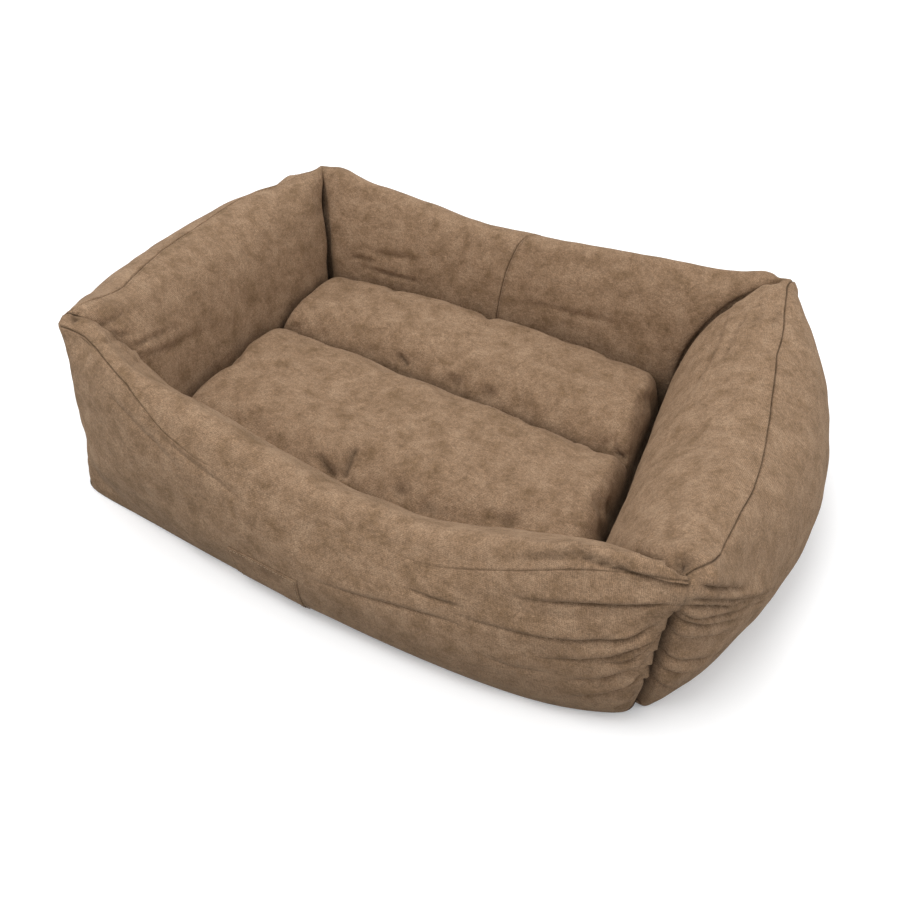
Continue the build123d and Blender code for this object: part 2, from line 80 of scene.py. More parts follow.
# Each wall's crest: its height, inset and crown, and where it has come down from its two tips
crest_heights = {"front": 0.192, "right": 0.238, "back": 0.222, "left": 0.250}
crest_inset_shares = {"front": 0.31, "right": 0.42, "back": 0.43, "left": 0.41}
crown_radii = {"front": 0.024, "right": 0.050, "back": 0.026, "left": 0.058}
dip_shares = {"front": (0.56, 0.36), "right": (0.5, 0.5), "back": (0.6, 0.4),
              "left": (0.5, 0.5)}

# Where the crest seam lies between outer foot and top along each wall, and how deep it is
# drawn in there and how dark its painted shade is, as a share of the deepest
seam_shares = {
    "front": [(0, 0.93), (0.08, 0.955), (0.16, 0.925), (0.24, 0.83), (0.3, 0.80),
              (0.7, 0.81), (0.83, 0.865), (0.92, 0.92), (1, 0.96)],
    "right": [(0, 0.96), (0.04, 0.93), (0.1, 0.88), (0.3, 0.872), (0.45, 0.90),
              (0.6, 0.945), (0.75, 0.99), (0.9, 0.975), (1, 0.97)],
    "back": [(0, 0.97), (0.1, 0.9), (0.9, 0.9), (1, 0.97)],
    "left": [(0, 0.97), (0.2, 0.93), (0.6, 0.98), (0.8, 1.03), (0.94, 1.02), (1, 0.98)],
}
even_shares = [(0, 1), (1, 1)]
seam_strength_shares = {
    "front": [(0, 1), (0.2, 0.9), (0.34, 0.1), (0.62, 0.1), (0.75, 0.5), (1, 0.6)],
    "right": even_shares, "back": even_shares, "left": even_shares,
}
foot_height = 0.002
foot_tuck = 0.003
foot_tuck_height = 0.020
halvings = 50
crown_fittings = 6

# Least length and area to divide by, and the gap under which two places on the ring are one
tiny_length = 1e-9
tiny_area = 1e-12
same_place = 1e-6


def between(first, last, share):
    """The point or size that lies a share of the way from first to last."""
    return first + (last - first) * share


def hump(share):
    """Nothing at both ends, one in the middle."""
    return 4 * share * (1 - share)


def ease(share):
    """A share that starts and stops gently, and stays between nothing and one."""
    share = np.clip(share, 0, 1)
    return share * share * (3 - 2 * share)


def read_table(table, place):
    """A table of pairs, read between them."""
    return np.interp(place, [pair[0] for pair in table], [pair[1] for pair in table])


# Plan of the corners

front_y = front_corner_draw_depth - half_depth
back_y = half_depth - back_corner_draw_depth
front_corner_x = half_length - front_corner_draw_length
back_corner_x = half_length - back_corner_draw_length
outer_corners = {
    "front_left": Vector((-front_corner_x, front_y, 0)),
    "front_right": Vector((front_corner_x, front_y, 0)),
    "back_right": Vector((back_corner_x, back_y, 0)),
    "back_left": Vector((-back_corner_x, back_y, 0)),
}
hollow_left_x = left_wall_thickness - half_length
hollow_front_y = front_wall_thickness - half_depth
hollow_back_y = half_depth - back_wall_thickness
hollow_corners = {
    "front_left": Vector((hollow_left_x, hollow_front_y, 0)),
    "front_right": Vector((half_length - right_wall_front_thickness, hollow_front_y, 0)),
    "back_right": Vector((half_length - right_wall_back_thickness, hollow_back_y, 0)),
    "back_left": Vector((hollow_left_x, hollow_back_y, 0)),
}
corner_names = list(tip_heights)

# How far tips, waists and feet are pulled away from the mitres, and how far along that tells
corner_reach = 0.080
tip_shifts = {
    "front_left": Vector((-0.009, 0.032, 0.003)),
    "front_right": Vector((0.014, -0.006, -0.003)),
    "back_right": Vector((-0.019, 0.006, 0)),
    "back_left": Vector((0.006, 0.001, -0.003)),
}
waist_shifts = {"front_left": Vector((0.013, 0.009, 0))}
foot_shifts = {
    "front_left": Vector((-0.007, -0.005, 0)),
    "front_right": Vector((-0.008, 0.007, 0)),
}
tip_pull_power = 2.5
foot_pull_power = 2


class Bend:
    """The arc from a foot to a crest that bellies a set way out, as in the frame."""

    def __init__(self, foot, belly, crest, side):
        rise = crest[1] - foot[1]
        setback = side * (foot[0] - crest[0]) + belly
        low = max(belly, setback) / 2
        high = rise * rise / belly
        for halving in range(halvings):
            self.radius = (low + high) / 2
            if self.half_chord(belly) + self.half_chord(setback) < rise:
                low = self.radius
            else:
                high = self.radius
        self.x = foot[0] + side * (belly - self.radius)
        self.z = foot[1] + self.half_chord(belly)
        self.foot_angle = asin((foot[1] - self.z) / self.radius)

    def half_chord(self, depth):
        return sqrt(depth * (2 * self.radius - depth))


class Section:
    """A wall's section: outer arc, round crown and inner arc, read by share of each side."""

    def __init__(self, width, height, inset, belly, inner_belly, crown_radius):
        self.width = width
        apex = height
        for fitting in range(crown_fittings):
            outer = Bend((0, foot_height), belly, (inset, apex), -1)
            inner = Bend((width, foot_height), inner_belly, (inset, apex), 1)
            self.place_crown(outer, inner, crown_radius)
            apex += height - (self.crown_z + crown_radius)
        self.outer = self.runs(outer, crown_radius, -1)
        self.inner = self.runs(inner, crown_radius, 1)

    def place_crown(self, outer, inner, crown_radius):
        """The centre of the crown's circle, which touches both arcs from inside."""
        reach_out = outer.radius - crown_radius
        reach_in = inner.radius - crown_radius
        apart_x = inner.x - outer.x
        apart_z = inner.z - outer.z
        apart = hypot(apart_x, apart_z)
        along = (reach_out ** 2 - reach_in ** 2 + apart ** 2) / (2 * apart)
        off = sqrt(reach_out ** 2 - along ** 2)
        if apart_x > 0:
            off = -off
        self.crown_x = outer.x + (along * apart_x + off * apart_z) / apart
        self.crown_z = outer.z + (along * apart_z - off * apart_x) / apart

    def runs(self, bend, crown_radius, side):
        """The side's two arcs, each with its centre, radius, angles and length."""
        touch = atan2(self.crown_z - bend.z, side * (self.crown_x - bend.x))
        top = pi / 2
        long_run = bend.radius * (touch - bend.foot_angle)
        short_run = crown_radius * (top - touch)
        return [(bend.x, bend.z, bend.radius, bend.foot_angle, touch, long_run),
                (self.crown_x, self.crown_z, crown_radius, touch, top, short_run)]

    def side_point(self, runs, side, share):
        run, crown_run = runs
        wanted = share * (run[-1] + crown_run[-1])
        if wanted > run[-1]:
            wanted -= run[-1]
            run = crown_run
        x, z, radius, first, last, length = run
        angle = between(first, last, wanted / length)
        return x + side * radius * cos(angle), z + radius * sin(angle)

    def point(self, row):
        """Row 0 is the outer foot, 1 the top, 2 the inner foot and 3 the outer foot again."""
        if row <= 1:
            return self.side_point(self.outer, -1, row)
        if row <= 2:
            return self.side_point(self.inner, 1, 2 - row)
        return self.width * (3 - row), foot_height


class Wall:
    """One padded wall, from the corner on its left to the one on its right, seen from inside."""

    def __init__(self, name, start, end, outward):
        self.start = start
        self.end = end
        self.outward = Vector(outward)
        self.outer_bow, self.hollow_bow = wall_bows[name]
        self.belly, self.inner_belly = wall_bellies[name]
        self.bow_power = bow_powers[name]
        self.bow_lean = bow_leans[name]
        self.crest_height = crest_heights[name]
        self.crest_inset_share = crest_inset_shares[name]
        self.crown_radius = crown_radii[name]
        self.dip_shares = dip_shares[name]
        self.seam_shares = seam_shares[name]
        self.seam_strength_shares = seam_strength_shares[name]
        self.length = (outer_corners[end] - outer_corners[start]).length

    def bowed(self, share):
        """How far out the foot line is, fuller towards its ends and leaning to one of them."""
        lean = 1 + self.bow_lean * (2 * share - 1)
        return self.outer_bow * hump(share) ** self.bow_power * lean

    def near(self, share):
        line = between(outer_corners[self.start], outer_corners[self.end], share)
        return line + self.outward * self.bowed(share)

    def far(self, share):
        bow = self.outward * (hump(share) * self.hollow_bow)
        return between(hollow_corners[self.start], hollow_corners[self.end], share) + bow

    def dip(self, share):
        """How far the crest has come down from its tips, from nothing to one."""
        first, last = self.dip_shares
        return ease(share / first) * ease((1 - share) / last)

    def section(self, share):
        swell = hump(share)
        width = (self.far(share) - self.near(share)).length
        tip = between(tip_heights[self.start], tip_heights[self.end], share)
        tips_mean = (tip_heights[self.start] + tip_heights[self.end]) / 2
        height = tip - (tips_mean - self.crest_height) * self.dip(share)
        spread = (self.outer_bow + self.belly - corner_belly) * swell - self.bowed(share)
        inset = (width + spread) * self.crest_inset_share
        inset = between(-tip_overhang, inset, swell) - spread
        belly = between(corner_belly, self.belly, swell)
        inner_belly = between(corner_inner_belly, self.inner_belly, swell)
        crown_radius = between(tip_crown_radius, self.crown_radius, sqrt(swell))
        return Section(width, height, inset, belly, inner_belly, crown_radius)


walls = {
    "front": Wall("front", "front_left", "front_right", (0, -1, 0)),
    "right": Wall("right", "front_right", "back_right", (1, 0, 0)),
    "back": Wall("back", "back_right", "back_left", (0, 1, 0)),
    "left": Wall("left", "back_left", "front_left", (-1, 0, 0)),
}
wall_names = list(walls)
ring_turn = len(wall_names)


def wall_at(place):
    """The wall and the share of it at a place, counted in walls from the front left corner."""
    place = place % ring_turn
    number = int(place)
    return walls[wall_names[number]], place - number


def corner_pulls(place, wall, share):
    """How far the nearest corner's tip, waist and foot draw this column with them."""
    name = corner_names[round(place) % ring_turn]
    distance = min(share, 1 - share) * wall.length
    pull = exp(-(distance / corner_reach) ** 2)
    return [shifts.get(name, Vector()) * pull
            for shifts in (tip_shifts, waist_shifts, foot_shifts)]


def seam_row(row, seam):
    """Rows up to 1 reach the crest seam, and rows from 1 to 2 go on to the inner foot."""
    if row <= 1:
        return row * seam
    if row <= 2:
        return between(seam, 2, row - 1)
    return row


def ring_points(places, rows):
    """The walls' surface, as a table of points by column and row."""
    table = np.zeros((len(places), len(rows), 3))
    for number, place in enumerate(places):
        wall, share = wall_at(place)
        section = wall.section(share)
        seam = float(read_table(wall.seam_shares, share))
        near = wall.near(share)
        across = (wall.far(share) - near).normalized()
        tip_pull, waist_pull, foot_pull = corner_pulls(place, wall, share)
        for step, row in enumerate(rows):
            x, z = section.point(seam_row(row, seam))
            high = z / tip_heights["front_left"]
            pull = tip_pull * high ** tip_pull_power
            pull += foot_pull * max(1 - high, 0) ** foot_pull_power
            pull += waist_pull * hump(min(high, 1))
            if row <= 1:
                x += foot_tuck * max(1 - z / foot_tuck_height, 0) ** 2
            if row > 2:
                x += foot_tuck * (row - 2)
            table[number, step] = (near.x + across.x * x + pull.x,
                                   near.y + across.y * x + pull.y, z + pull.z)
    return table


def spaced(count, crowding):
    """Shares from nothing up to but not including one, closer together at both ends."""
    shares = []
    for number in range(count):
        share = number / count
        shares.append(share - crowding * sin(2 * pi * share) / (2 * pi))
    return shares


def ring_places(spacing, crowding):
    places = []
    for number, name in enumerate(wall_names):
        count = int(walls[name].length / spacing)
        places += [number + share for share in spaced(count, crowding)]
    return places


def ring_rows(outer_count, inner_count, bottom_count):
    rows = [step / outer_count for step in range(outer_count)]
    rows += [1 + step / inner_count for step in range(inner_count)]
    return rows + [2 + step / bottom_count for step in range(bottom_count)]


def nearest(places, wanted):
    """The number of the place that lies nearest to the wanted one."""
    return int(np.argmin(abs(places - wanted)))


# Meshes from tables of points

def grid_faces(columns, rows, joined, closed=True):
    """Faces over a table of points, column by column.

    The last column may be joined to the first, and so may the last row.
    """
    faces = []
    for column in range(columns if joined else columns - 1):
        after = (column + 1) % columns
        for row in range(rows if closed else rows - 1):
            above = (row + 1) % rows
            faces.append((column * rows + row, after * rows + row,
                          after * rows + above, column * rows + above))
    return faces


def tube_faces(columns, rows):
    """The faces of a closed tube: all round it, and over its two ends."""
    last = (columns - 1) * rows
    ends = [list(range(rows)), [last + row for row in reversed(range(rows))]]
    return grid_faces(columns, rows, False) + ends


def built_mesh(name, points, faces, uv=None):
    """A mesh whose corners may know their place on the flat cloth, in metres."""
    mesh = bpy.data.meshes.new(name)
    mesh.from_pydata(points.reshape(-1, 3).tolist(), [], faces)
    if uv is not None:
        layer = mesh.uv_layers.new(name="cloth")
        loops = np.zeros(len(mesh.loops), dtype=int)
        mesh.loops.foreach_get("vertex_index", loops)
        layer.data.foreach_set("uv", uv.reshape(-1, 2)[loops].ravel())
    mesh.update()
    return mesh


def tube_mesh(name, table):
    """A closed mesh over a table of points whose rows go all the way round it."""
    return built_mesh(name, table, tube_faces(*table.shape[:2]), flat_places(table))


def store_painted_shade(mesh, crease):
    """Keeps on the mesh how much shade is painted at each point, in creases, seams, pits and low
    down, for the material.
    """
    layer = mesh.attributes.new("crease", "FLOAT", "POINT")
    layer.data.foreach_set("value", np.ascontiguousarray(crease, dtype=np.float32).ravel())


def new_piece(name, mesh, material=None):
    piece = bpy.data.objects.new(name, mesh)
    bpy.context.scene.collection.objects.link(piece)
    mesh.polygons.foreach_set("use_smooth", [True] * len(mesh.polygons))
    if material is not None:
        mesh.materials.append(material)
    return piece


def table_normals(table, cyclic):
    """The outward normal at each point of a table."""
    along = np.roll(table, -1, axis=0) - np.roll(table, 1, axis=0)
    across = np.roll(table, -1, axis=1) - np.roll(table, 1, axis=1)
    if not cyclic:
        along[0] = table[1] - table[0]
        along[-1] = table[-1] - table[-2]
    normals = np.cross(along, across)
    lengths = np.linalg.norm(normals, axis=2, keepdims=True)
    return normals / np.maximum(lengths, tiny_area)


def flat_places(table):
    """Each point's place on the flat cloth: length along its row and round its column."""
    along = np.linalg.norm(np.diff(table, axis=0), axis=2).mean(axis=1)
    round_it = np.linalg.norm(np.diff(table, axis=1), axis=2)
    u = np.concatenate([[0], np.cumsum(along)])
    v = np.concatenate([np.zeros((len(table), 1)), np.cumsum(round_it, axis=1)], axis=1)
    return np.stack([np.broadcast_to(u[:, None], v.shape), v], axis=2)


# Cloth that its filling blows up a little

def blown_up(table, held, cap, cyclic):
    """How far each point of a stuffed cloth moves when its filling presses on it."""
    columns, rows = table.shape[:2]
    faces = grid_faces(columns, rows, True) if cyclic else tube_faces(columns, rows)
    piece = new_piece("trial", built_mesh("trial", table, faces))
    group = piece.vertex_groups.new(name="held")
    for number, weight in enumerate(held.reshape(-1).tolist()):
        if weight > 0:
            group.add([number], weight, "REPLACE")
    cloth = piece.modifiers.new("cloth", "CLOTH")
    settings = cloth.settings
    settings.quality = cloth_quality
    settings.mass = cloth_mass
    settings.tension_stiffness = cloth_stiffness
    settings.compression_stiffness = cloth_stiffness
    settings.shear_stiffness = cloth_shear
    settings.bending_stiffness = cloth_bending
    settings.use_pressure = True
    settings.uniform_pressure_force = cloth_pressure
    settings.shrink_min = -cloth_slack_share
    settings.vertex_group_mass = "held"
    settings.effector_weights.gravity = 0
    cloth.collision_settings.use_collision = False
    scene = bpy.context.scene
    cloth.point_cache.frame_start = 1
    cloth.point_cache.frame_end = cloth_frames
    for number in range(1, cloth_frames + 1):
        scene.frame_set(number)
    evaluated = piece.evaluated_get(bpy.context.evaluated_depsgraph_get())
    moved = np.zeros(len(evaluated.data.vertices) * 3)
    evaluated.data.vertices.foreach_get("co", moved)
    shift = moved.reshape(table.shape) - table
    scene.frame_set(1)
    bpy.data.objects.remove(piece)
    length = np.linalg.norm(shift, axis=2, keepdims=True)
    return shift * (cap * np.tanh(length / cap) / np.maximum(length, tiny_length))


cloth_quality = 6
cloth_mass = 0.3
cloth_stiffness = 25
cloth_shear = 8
cloth_bending = 1.2
cloth_pressure = 4
cloth_slack_share = 0.03
cloth_frames = 20


def curve_weights(t):
    """Weights of the four neighbours of a place between the middle two."""
    return (-0.5 * t + t * t - 0.5 * t ** 3, 1 - 2.5 * t * t + 1.5 * t ** 3,
            0.5 * t + 2 * t * t - 1.5 * t ** 3, -0.5 * t * t + 0.5 * t ** 3)


def read_along(table, places, wanted, turn):
    """A table read at other places along its first axis, on smooth curves. turn is 0 if open."""
    count = len(places)
    known = list(places) + [places[0] + turn] if turn else list(places)
    index = np.interp(wanted, known, range(len(known)))
    low = np.floor(index).astype(int)
    fraction = (index - low)[:, None, None]
    result = 0
    for step, weight in enumerate(curve_weights(fraction)):
        picked = low + step - 1
        picked = picked % count if turn else np.clip(picked, 0, count - 1)
        result = result + weight * table[picked]
    return result


def read_shift(shift, places, rows, fine_places, fine_rows, turns):
    shift = read_along(shift, places, fine_places, turns[0])
    return read_along(shift.transpose(1, 0, 2), rows, fine_rows, turns[1]).transpose(1, 0, 2)


# Camera of the photograph

camera_place = Vector((0.5506, -1.0344, 1.0229))
camera_right = Vector((0.8800, 0.4750, 0.0073))
camera_up = Vector((-0.2994, 0.5426, 0.7848))
camera_back = Vector((0.3688, -0.6928, 0.6197))
focal_pixels = 1076.8
image_pixels = 900
centre_shift_u = -6.13
centre_shift_v = -41.49
sensor_width = 36.0


def pixel_ray(pixel):
    """The direction in which the camera sees a pixel of the photograph."""
    u, v = pixel
    right = (u - image_pixels / 2 - centre_shift_u) / focal_pixels
    down = (v - image_pixels / 2 - centre_shift_v) / focal_pixels
    return (camera_right * right - camera_up * down - camera_back).normalized()


def make_camera():
    camera = bpy.data.objects.new("camera", bpy.data.cameras.new("camera"))
    bpy.context.scene.collection.objects.link(camera)
    turned = Matrix((camera_right, camera_up, camera_back)).transposed().to_4x4()
    camera.matrix_world = Matrix.Translation(camera_place) @ turned
    camera.data.sensor_width = sensor_width
    camera.data.lens = focal_pixels * sensor_width / image_pixels
    camera.data.shift_x = -centre_shift_u / image_pixels
    camera.data.shift_y = centre_shift_v / image_pixels
    bpy.context.scene.camera = camera


class Surface:
    """A table of points with its normals, which seams, creases and folds are pressed into, and
    the shade painted into them.
    """

    def __init__(self, table, cyclic):
        self.table = table
        self.normals = table_normals(table, cyclic)
        self.rise = np.zeros(table.shape[:2])
        # How much shade is painted at each point
        self.crease = np.zeros(table.shape[:2])
        faces = grid_faces(*table.shape[:2], cyclic)
        self.tree = BVHTree.FromPolygons(table.reshape(-1, 3).tolist(), faces)

    def seen(self, pixel):
        """The point of the surface that the photograph's camera sees at a pixel."""
        return self.tree.ray_cast(camera_place, pixel_ray(pixel))[0]

    def line(self, pixels):
        """Close points along a line that the photograph shows on the surface."""
        points = []
        for first, last in zip(pixels, pixels[1:]):
            steps = max(int(hypot(last[0] - first[0], last[1] - first[1]) / line_step_pixels), 1)
            for step in range(steps):
                pixel = (between(first[0], last[0], step / steps),
                         between(first[1], last[1], step / steps))
                point = self.seen(pixel)
                if point is not None:
                    points.append(point)
        return np.array(points)

    def fold(self, points, kind):
        """A crease along a line, with the cloth puffed up over its upper side and shade painted
        into it.

        The crease fades towards the line's first point, and towards its last one if the
        kind says so.
        """
        points = smoothed(points)
        steps = np.linalg.norm(np.diff(points, axis=0), axis=1)
        lengths = np.concatenate([[0], np.cumsum(steps)])
        tangents = np.gradient(points, axis=0)
        sizes = np.linalg.norm(tangents, axis=1, keepdims=True)
        tangents /= np.maximum(sizes, tiny_length)
        reach = max(crease_reach_widths * kind["width"], lip_reach_widths * kind["lip_width"])
        low = points.min(axis=0) - reach
        high = points.max(axis=0) + reach
        near = np.all((self.table > low) & (self.table < high), axis=2)
        place = self.table[near]
        away = place[:, None, :] - points[None, :, :]
        distances = np.linalg.norm(away, axis=2)
        nearest = distances.argmin(axis=1)
        picked = np.arange(len(place))
        distance = distances[picked, nearest]
        upward = np.cross(self.normals[near], tangents[nearest])
        upward *= np.sign(upward[:, 2:3])
        side = np.einsum("ij,ij->i", away[picked, nearest], upward)
        facing = np.einsum("ij,ij->i", self.normals[near], normals_at(self, points)[nearest])
        along = lengths[nearest]
        first_share, last_share = kind["fade_shares"]
        weight = ease(along / max(first_share * lengths[-1], shortest_fade))
        weight *= ease((lengths[-1] - along) / max(last_share * lengths[-1], shortest_fade))
        puff = np.maximum(side, 0) / kind["lip_width"]
        rise = kind["lip"] * puff * np.exp(1 - puff)
        rise = rise - kind["depth"] * np.exp(-distance / kind["width"])
        rise *= ease((reach - distance) / kind["width"])
        weight *= facing > least_facing
        self.rise[near] += rise * weight
        # Shade painted into the crease, darkest along its line
        crease = np.exp(-(distance / (kind["width"] * crease_shade_width_share)) ** 2)
        self.crease[near] = np.maximum(self.crease[near], kind["painted_shade"] * weight * crease)

    def dent(self, point, depth, reach, painted_shade=0):
        distance = np.linalg.norm(self.table - np.array(point), axis=2)
        near = np.exp(-(distance / reach) ** 2)
        self.rise -= depth * near
        # Shade painted into the dent, darkest at its middle
        self.crease = np.maximum(self.crease, painted_shade * near)

    def press_seen(self, pixel, depth, reach, painted_shade):
        """A dent where the photograph shows one at a pixel, with shade painted into it."""
        point = self.seen(pixel)
        if point is not None:
            self.dent(point, depth, reach, painted_shade)

    def make_uneven(self):
        """Broad lumps and smaller ones all over the surface."""
        points = self.table.reshape(-1, 3).tolist()
        for scale, height in zip(unevenness_scales, unevenness_heights):
            rise = [noise.noise(Vector(point) / scale) for point in points]
            self.rise += height * np.array(rise).reshape(self.rise.shape)

    def finished(self):
        return self.table + self.normals * self.rise[:, :, None]

    def paint_low_shade(self, rows, strength):
        """Shade painted low down on the given rows, darker towards the floor: where the cushion
        lies against the walls, in its channel and at the walls' outer feet.
        """
        low_shade = strength * ease((low_shade_height - self.table[:, rows, 2]) / low_shade_run)
        self.crease[:, rows] = np.maximum(self.crease[:, rows], low_shade)

    # Paints shade at some points, keeping the darkest already there
    def mark(self, column, row, strength):
        self.crease[column, row] = np.maximum(self.crease[column, row], strength)


def smoothed(points):
    """A line of points with its small steps averaged out."""
    for turn in range(line_smoothings):
        inner = (points[:-2] + 2 * points[1:-1] + points[2:]) / 4
        points = np.concatenate([points[:1], inner, points[-1:]])
    return points


def normals_at(surface, points):
    """The surface's normal at each of some points on it."""
    return np.array([surface.tree.find_nearest(Vector(point))[1] for point in points.tolist()])


line_step_pixels = 2
line_smoothings = 3
shortest_fade = 0.003
crease_shade_width_share = 0.9
crease_reach_widths = 6
lip_reach_widths = 4
least_facing = 0.1

# Kinds of crease: how deep and wide they are, how far the cloth puffs up above them, how
# they fade towards their two ends, and how much shade is painted into them
roll_crease = {"depth": 0.0075, "width": 0.0026, "lip": 0.0065, "lip_width": 0.0055,
               "fade_shares": (0.40, 0.02), "painted_shade": 0.8}
pinched_fold = {"depth": 0.0085, "width": 0.0024, "lip": 0.0055, "lip_width": 0.0070,
                "fade_shares": (0.65, 0.12), "painted_shade": 0.85}
open_fold = {"depth": 0.0044, "width": 0.0030, "lip": 0.0030, "lip_width": 0.0080,
             "fade_shares": (0.45, 0.35), "painted_shade": 0.35}
rolled_hem = {"depth": -0.0050, "width": 0.0050, "lip": 0.0, "lip_width": 0.0060,
              "fade_shares": (0.35, 0.08), "painted_shade": 0.0}
soft_fold = {"depth": 0.0034, "width": 0.0060, "lip": 0.0018, "lip_width": 0.0100,
             "fade_shares": (0.40, 0.40), "painted_shade": 0.0}

# Lines that the photograph shows on the walls, as pixels from their faint end to their deep one
roll_crease_pixels = [
    [(489, 558), (535, 557), (580, 555), (612, 567), (648, 577), (672, 583), (690, 585)],
]
rolled_hem_pixels = [
    [(545, 539), (575, 545), (600, 552), (632, 558), (662, 568), (687, 579)],
]
pinched_fold_pixels = [
    [(490, 588), (523, 600), (547, 603), (580, 605), (627, 606), (677, 604)],
    [(430, 603), (473, 622), (507, 630), (540, 638), (580, 642), (627, 637), (665, 622)],
    [(528, 655), (552, 661), (580, 661), (612, 656), (657, 637)],
    [(590, 664), (622, 662), (645, 652), (664, 634)],
    [(560, 681), (600, 680), (650, 662)],
    [(560, 699), (607, 693), (627, 687), (645, 674)],
    [(582, 712), (613, 707), (639, 692)],
    [(776, 590), (760, 594), (727, 598), (676, 596)],
    [(790, 583), (773, 591), (760, 597), (727, 605), (668, 604)],
    [(779, 594), (760, 603), (733, 612), (693, 617), (664, 611)],
    [(750, 618), (730, 622), (700, 625), (662, 621)],
    [(742, 630), (712, 637), (680, 639), (655, 634)],
    [(735, 648), (706, 658), (673, 661), (648, 654)],
    [(716, 664), (690, 672), (657, 672), (643, 668)],
    [(700, 680), (670, 688), (657, 685), (639, 681)],
    [(757, 583), (738, 586), (717, 586), (692, 581)],
]
open_fold_pixels = [
    [(350, 268), (365, 266), (392, 275), (430, 285)],
    [(345, 258), (362, 257), (385, 265)],
    [(88, 336), (108, 322), (134, 307)],
    [(84, 346), (112, 337), (146, 330)],
    [(130, 362), (160, 350), (196, 336)],
    [(120, 352), (150, 338), (188, 322)],
    [(395, 585), (430, 598), (470, 612)],
    [(300, 575), (360, 597), (430, 617), (480, 633)],
]
soft_fold_pixels = [
    [(150, 365), (185, 340), (235, 318)],
    [(505, 300), (540, 306), (590, 318), (640, 330)],
    [(350, 245), (385, 255), (430, 262)],
    [(690, 400), (700, 430), (690, 460)],
    [(470, 650), (510, 668), (560, 676)],
    [(140, 420), (200, 470), (260, 515)],
    [(95, 380), (140, 430), (190, 480)],
    [(700, 350), (730, 390), (735, 430)],
]
wall_folds = [(roll_crease, roll_crease_pixels), (rolled_hem, rolled_hem_pixels),
              (pinched_fold, pinched_fold_pixels), (open_fold, open_fold_pixels),
              (soft_fold, soft_fold_pixels)]
kinds_behind = (pinched_fold, open_fold, soft_fold)

# Walls

trial_spacing = 0.013
trial_side_rows = 18
trial_bottom_rows = 5
trial_crowding = 0.45
fine_spacing = 0.0042
fine_outer_rows = 140
fine_inner_rows = 66
fine_bottom_rows = 8
fine_crowding = 0.60
wall_cap = 0.006
seam_row_shares = (0.005, 0.013)
seam_depth = 0.0032
seam_puff = 0.0006
back_seam_place = 2.5
back_seam_place_shares = (0.0018, 0.0045)
inner_crease_depth = 0.008
inner_crease_width = 0.0035
inner_round_depths = {"front_left": 0.003, "front_right": 0.005, "back_right": 0.004,
                      "back_left": 0.0}
inner_round_width = 0.022
inner_crease_start = 0.004
inner_fade_height = 0.024
outer_crease_depths = {"front_left": 0.006, "front_right": 0.016, "back_right": 0.011,
                       "back_left": 0.008}
outer_crease_width = 0.0065
outer_crease_start = 0.042
crease_fade_height = 0.035
# Width of the shade painted into the corner creases
corner_shade_width = 0.0035
even_foot_height = 0.070
still_foot_height = 0.035
# Shade painted low down: below what height, over what run, and how dark inside and at the outer
# feet
low_shade_height = 0.097
low_shade_run = 0.042
gap_shade_strength = 0.80
foot_shade_strength = 0.28
unevenness_scales = (0.085, 0.030)
unevenness_heights = (0.0030, 0.0012)

# Puffs and pits at the corner tips: place on the ring, row, height and reach
tip_puffs = [
    (0.030, 1.00, 0.004, 0.016), (3.955, 1.00, 0.004, 0.022), (0.000, 0.99, 0.005, 0.012),
    (0.080, 1.18, -0.010, 0.035), (0.140, 1.18, -0.008, 0.040),
    (0.960, 1.02, 0.003, 0.012), (1.045, 0.98, 0.007, 0.022), (1.000, 0.93, 0.004, 0.012),
    (1.950, 0.98, 0.005, 0.022), (2.045, 0.97, 0.009, 0.026), (2.000, 0.95, 0.005, 0.014),
    (2.950, 0.97, 0.010, 0.026), (3.060, 0.98, 0.003, 0.035), (3.000, 0.94, 0.004, 0.012),
    (1.000, 1.05, -0.014, 0.008),
    (0.045, 1.00, -0.009, 0.026), (2.000, 1.08, -0.010, 0.008),
]

# Pits beside two tips, with shade painted into them: the photograph's pixel, depth and reach
tip_pits = [((682, 560), 0.018, 0.013), ((74, 318), 0.007, 0.006)]
tip_pit_shade = 0.95


def held_ring(places, rows):
    """The cloth is held where it is sewn: at its feet, underneath and at the corners."""
    held = np.zeros((len(places), len(rows)))
    for step, row in enumerate(rows):
        if row >= 2 or row == 0:
            held[:, step] = 1
    for column, place in enumerate(places):
        if abs(place - round(place)) < same_place:
            held[column, :] = 1
    return held


def without_ripples(shift):
    """The cloth's shift without the ripples that are as short as two steps of its grid."""
    shift = (np.roll(shift, 1, 0) + 2 * shift + np.roll(shift, -1, 0)) / 4
    inner = (shift[:, :-2] + 2 * shift[:, 1:-1] + shift[:, 2:]) / 4
    return np.concatenate([shift[:, :1], inner, shift[:, -1:]], axis=1)


def ring_shift():
    places = ring_places(trial_spacing, trial_crowding)
    rows = ring_rows(trial_side_rows, trial_side_rows, trial_bottom_rows)
    table = ring_points(places, rows)
    shift = blown_up(table, held_ring(places, rows), wall_cap, True)
    return places, rows, without_ripples(shift)


def fine_ring_places():
    places = ring_places(fine_spacing, fine_crowding)
    for share in back_seam_place_shares:
        places += [back_seam_place - share, back_seam_place + share]
    return np.array(sorted(set(places + [back_seam_place])))


def fine_ring_rows():
    rows = ring_rows(fine_outer_rows, fine_inner_rows, fine_bottom_rows)
    for share in seam_row_shares:
        rows += [1 - share, 1 + share]
    return np.array(sorted(rows))


def sew_crest(surface, places, rows):
    """The seam groove along the crest, with shade painted into it and the cloth a little puffed
    beside it.
    """
    seam = nearest(rows, 1)
    for column, place in enumerate(places):
        wall, share = wall_at(place)
        strength = float(read_table(wall.seam_strength_shares, share))
        surface.rise[column, seam] -= seam_depth * strength
        surface.mark(column, seam, strength)
        surface.rise[column, [seam - 2, seam + 2]] += seam_puff * strength


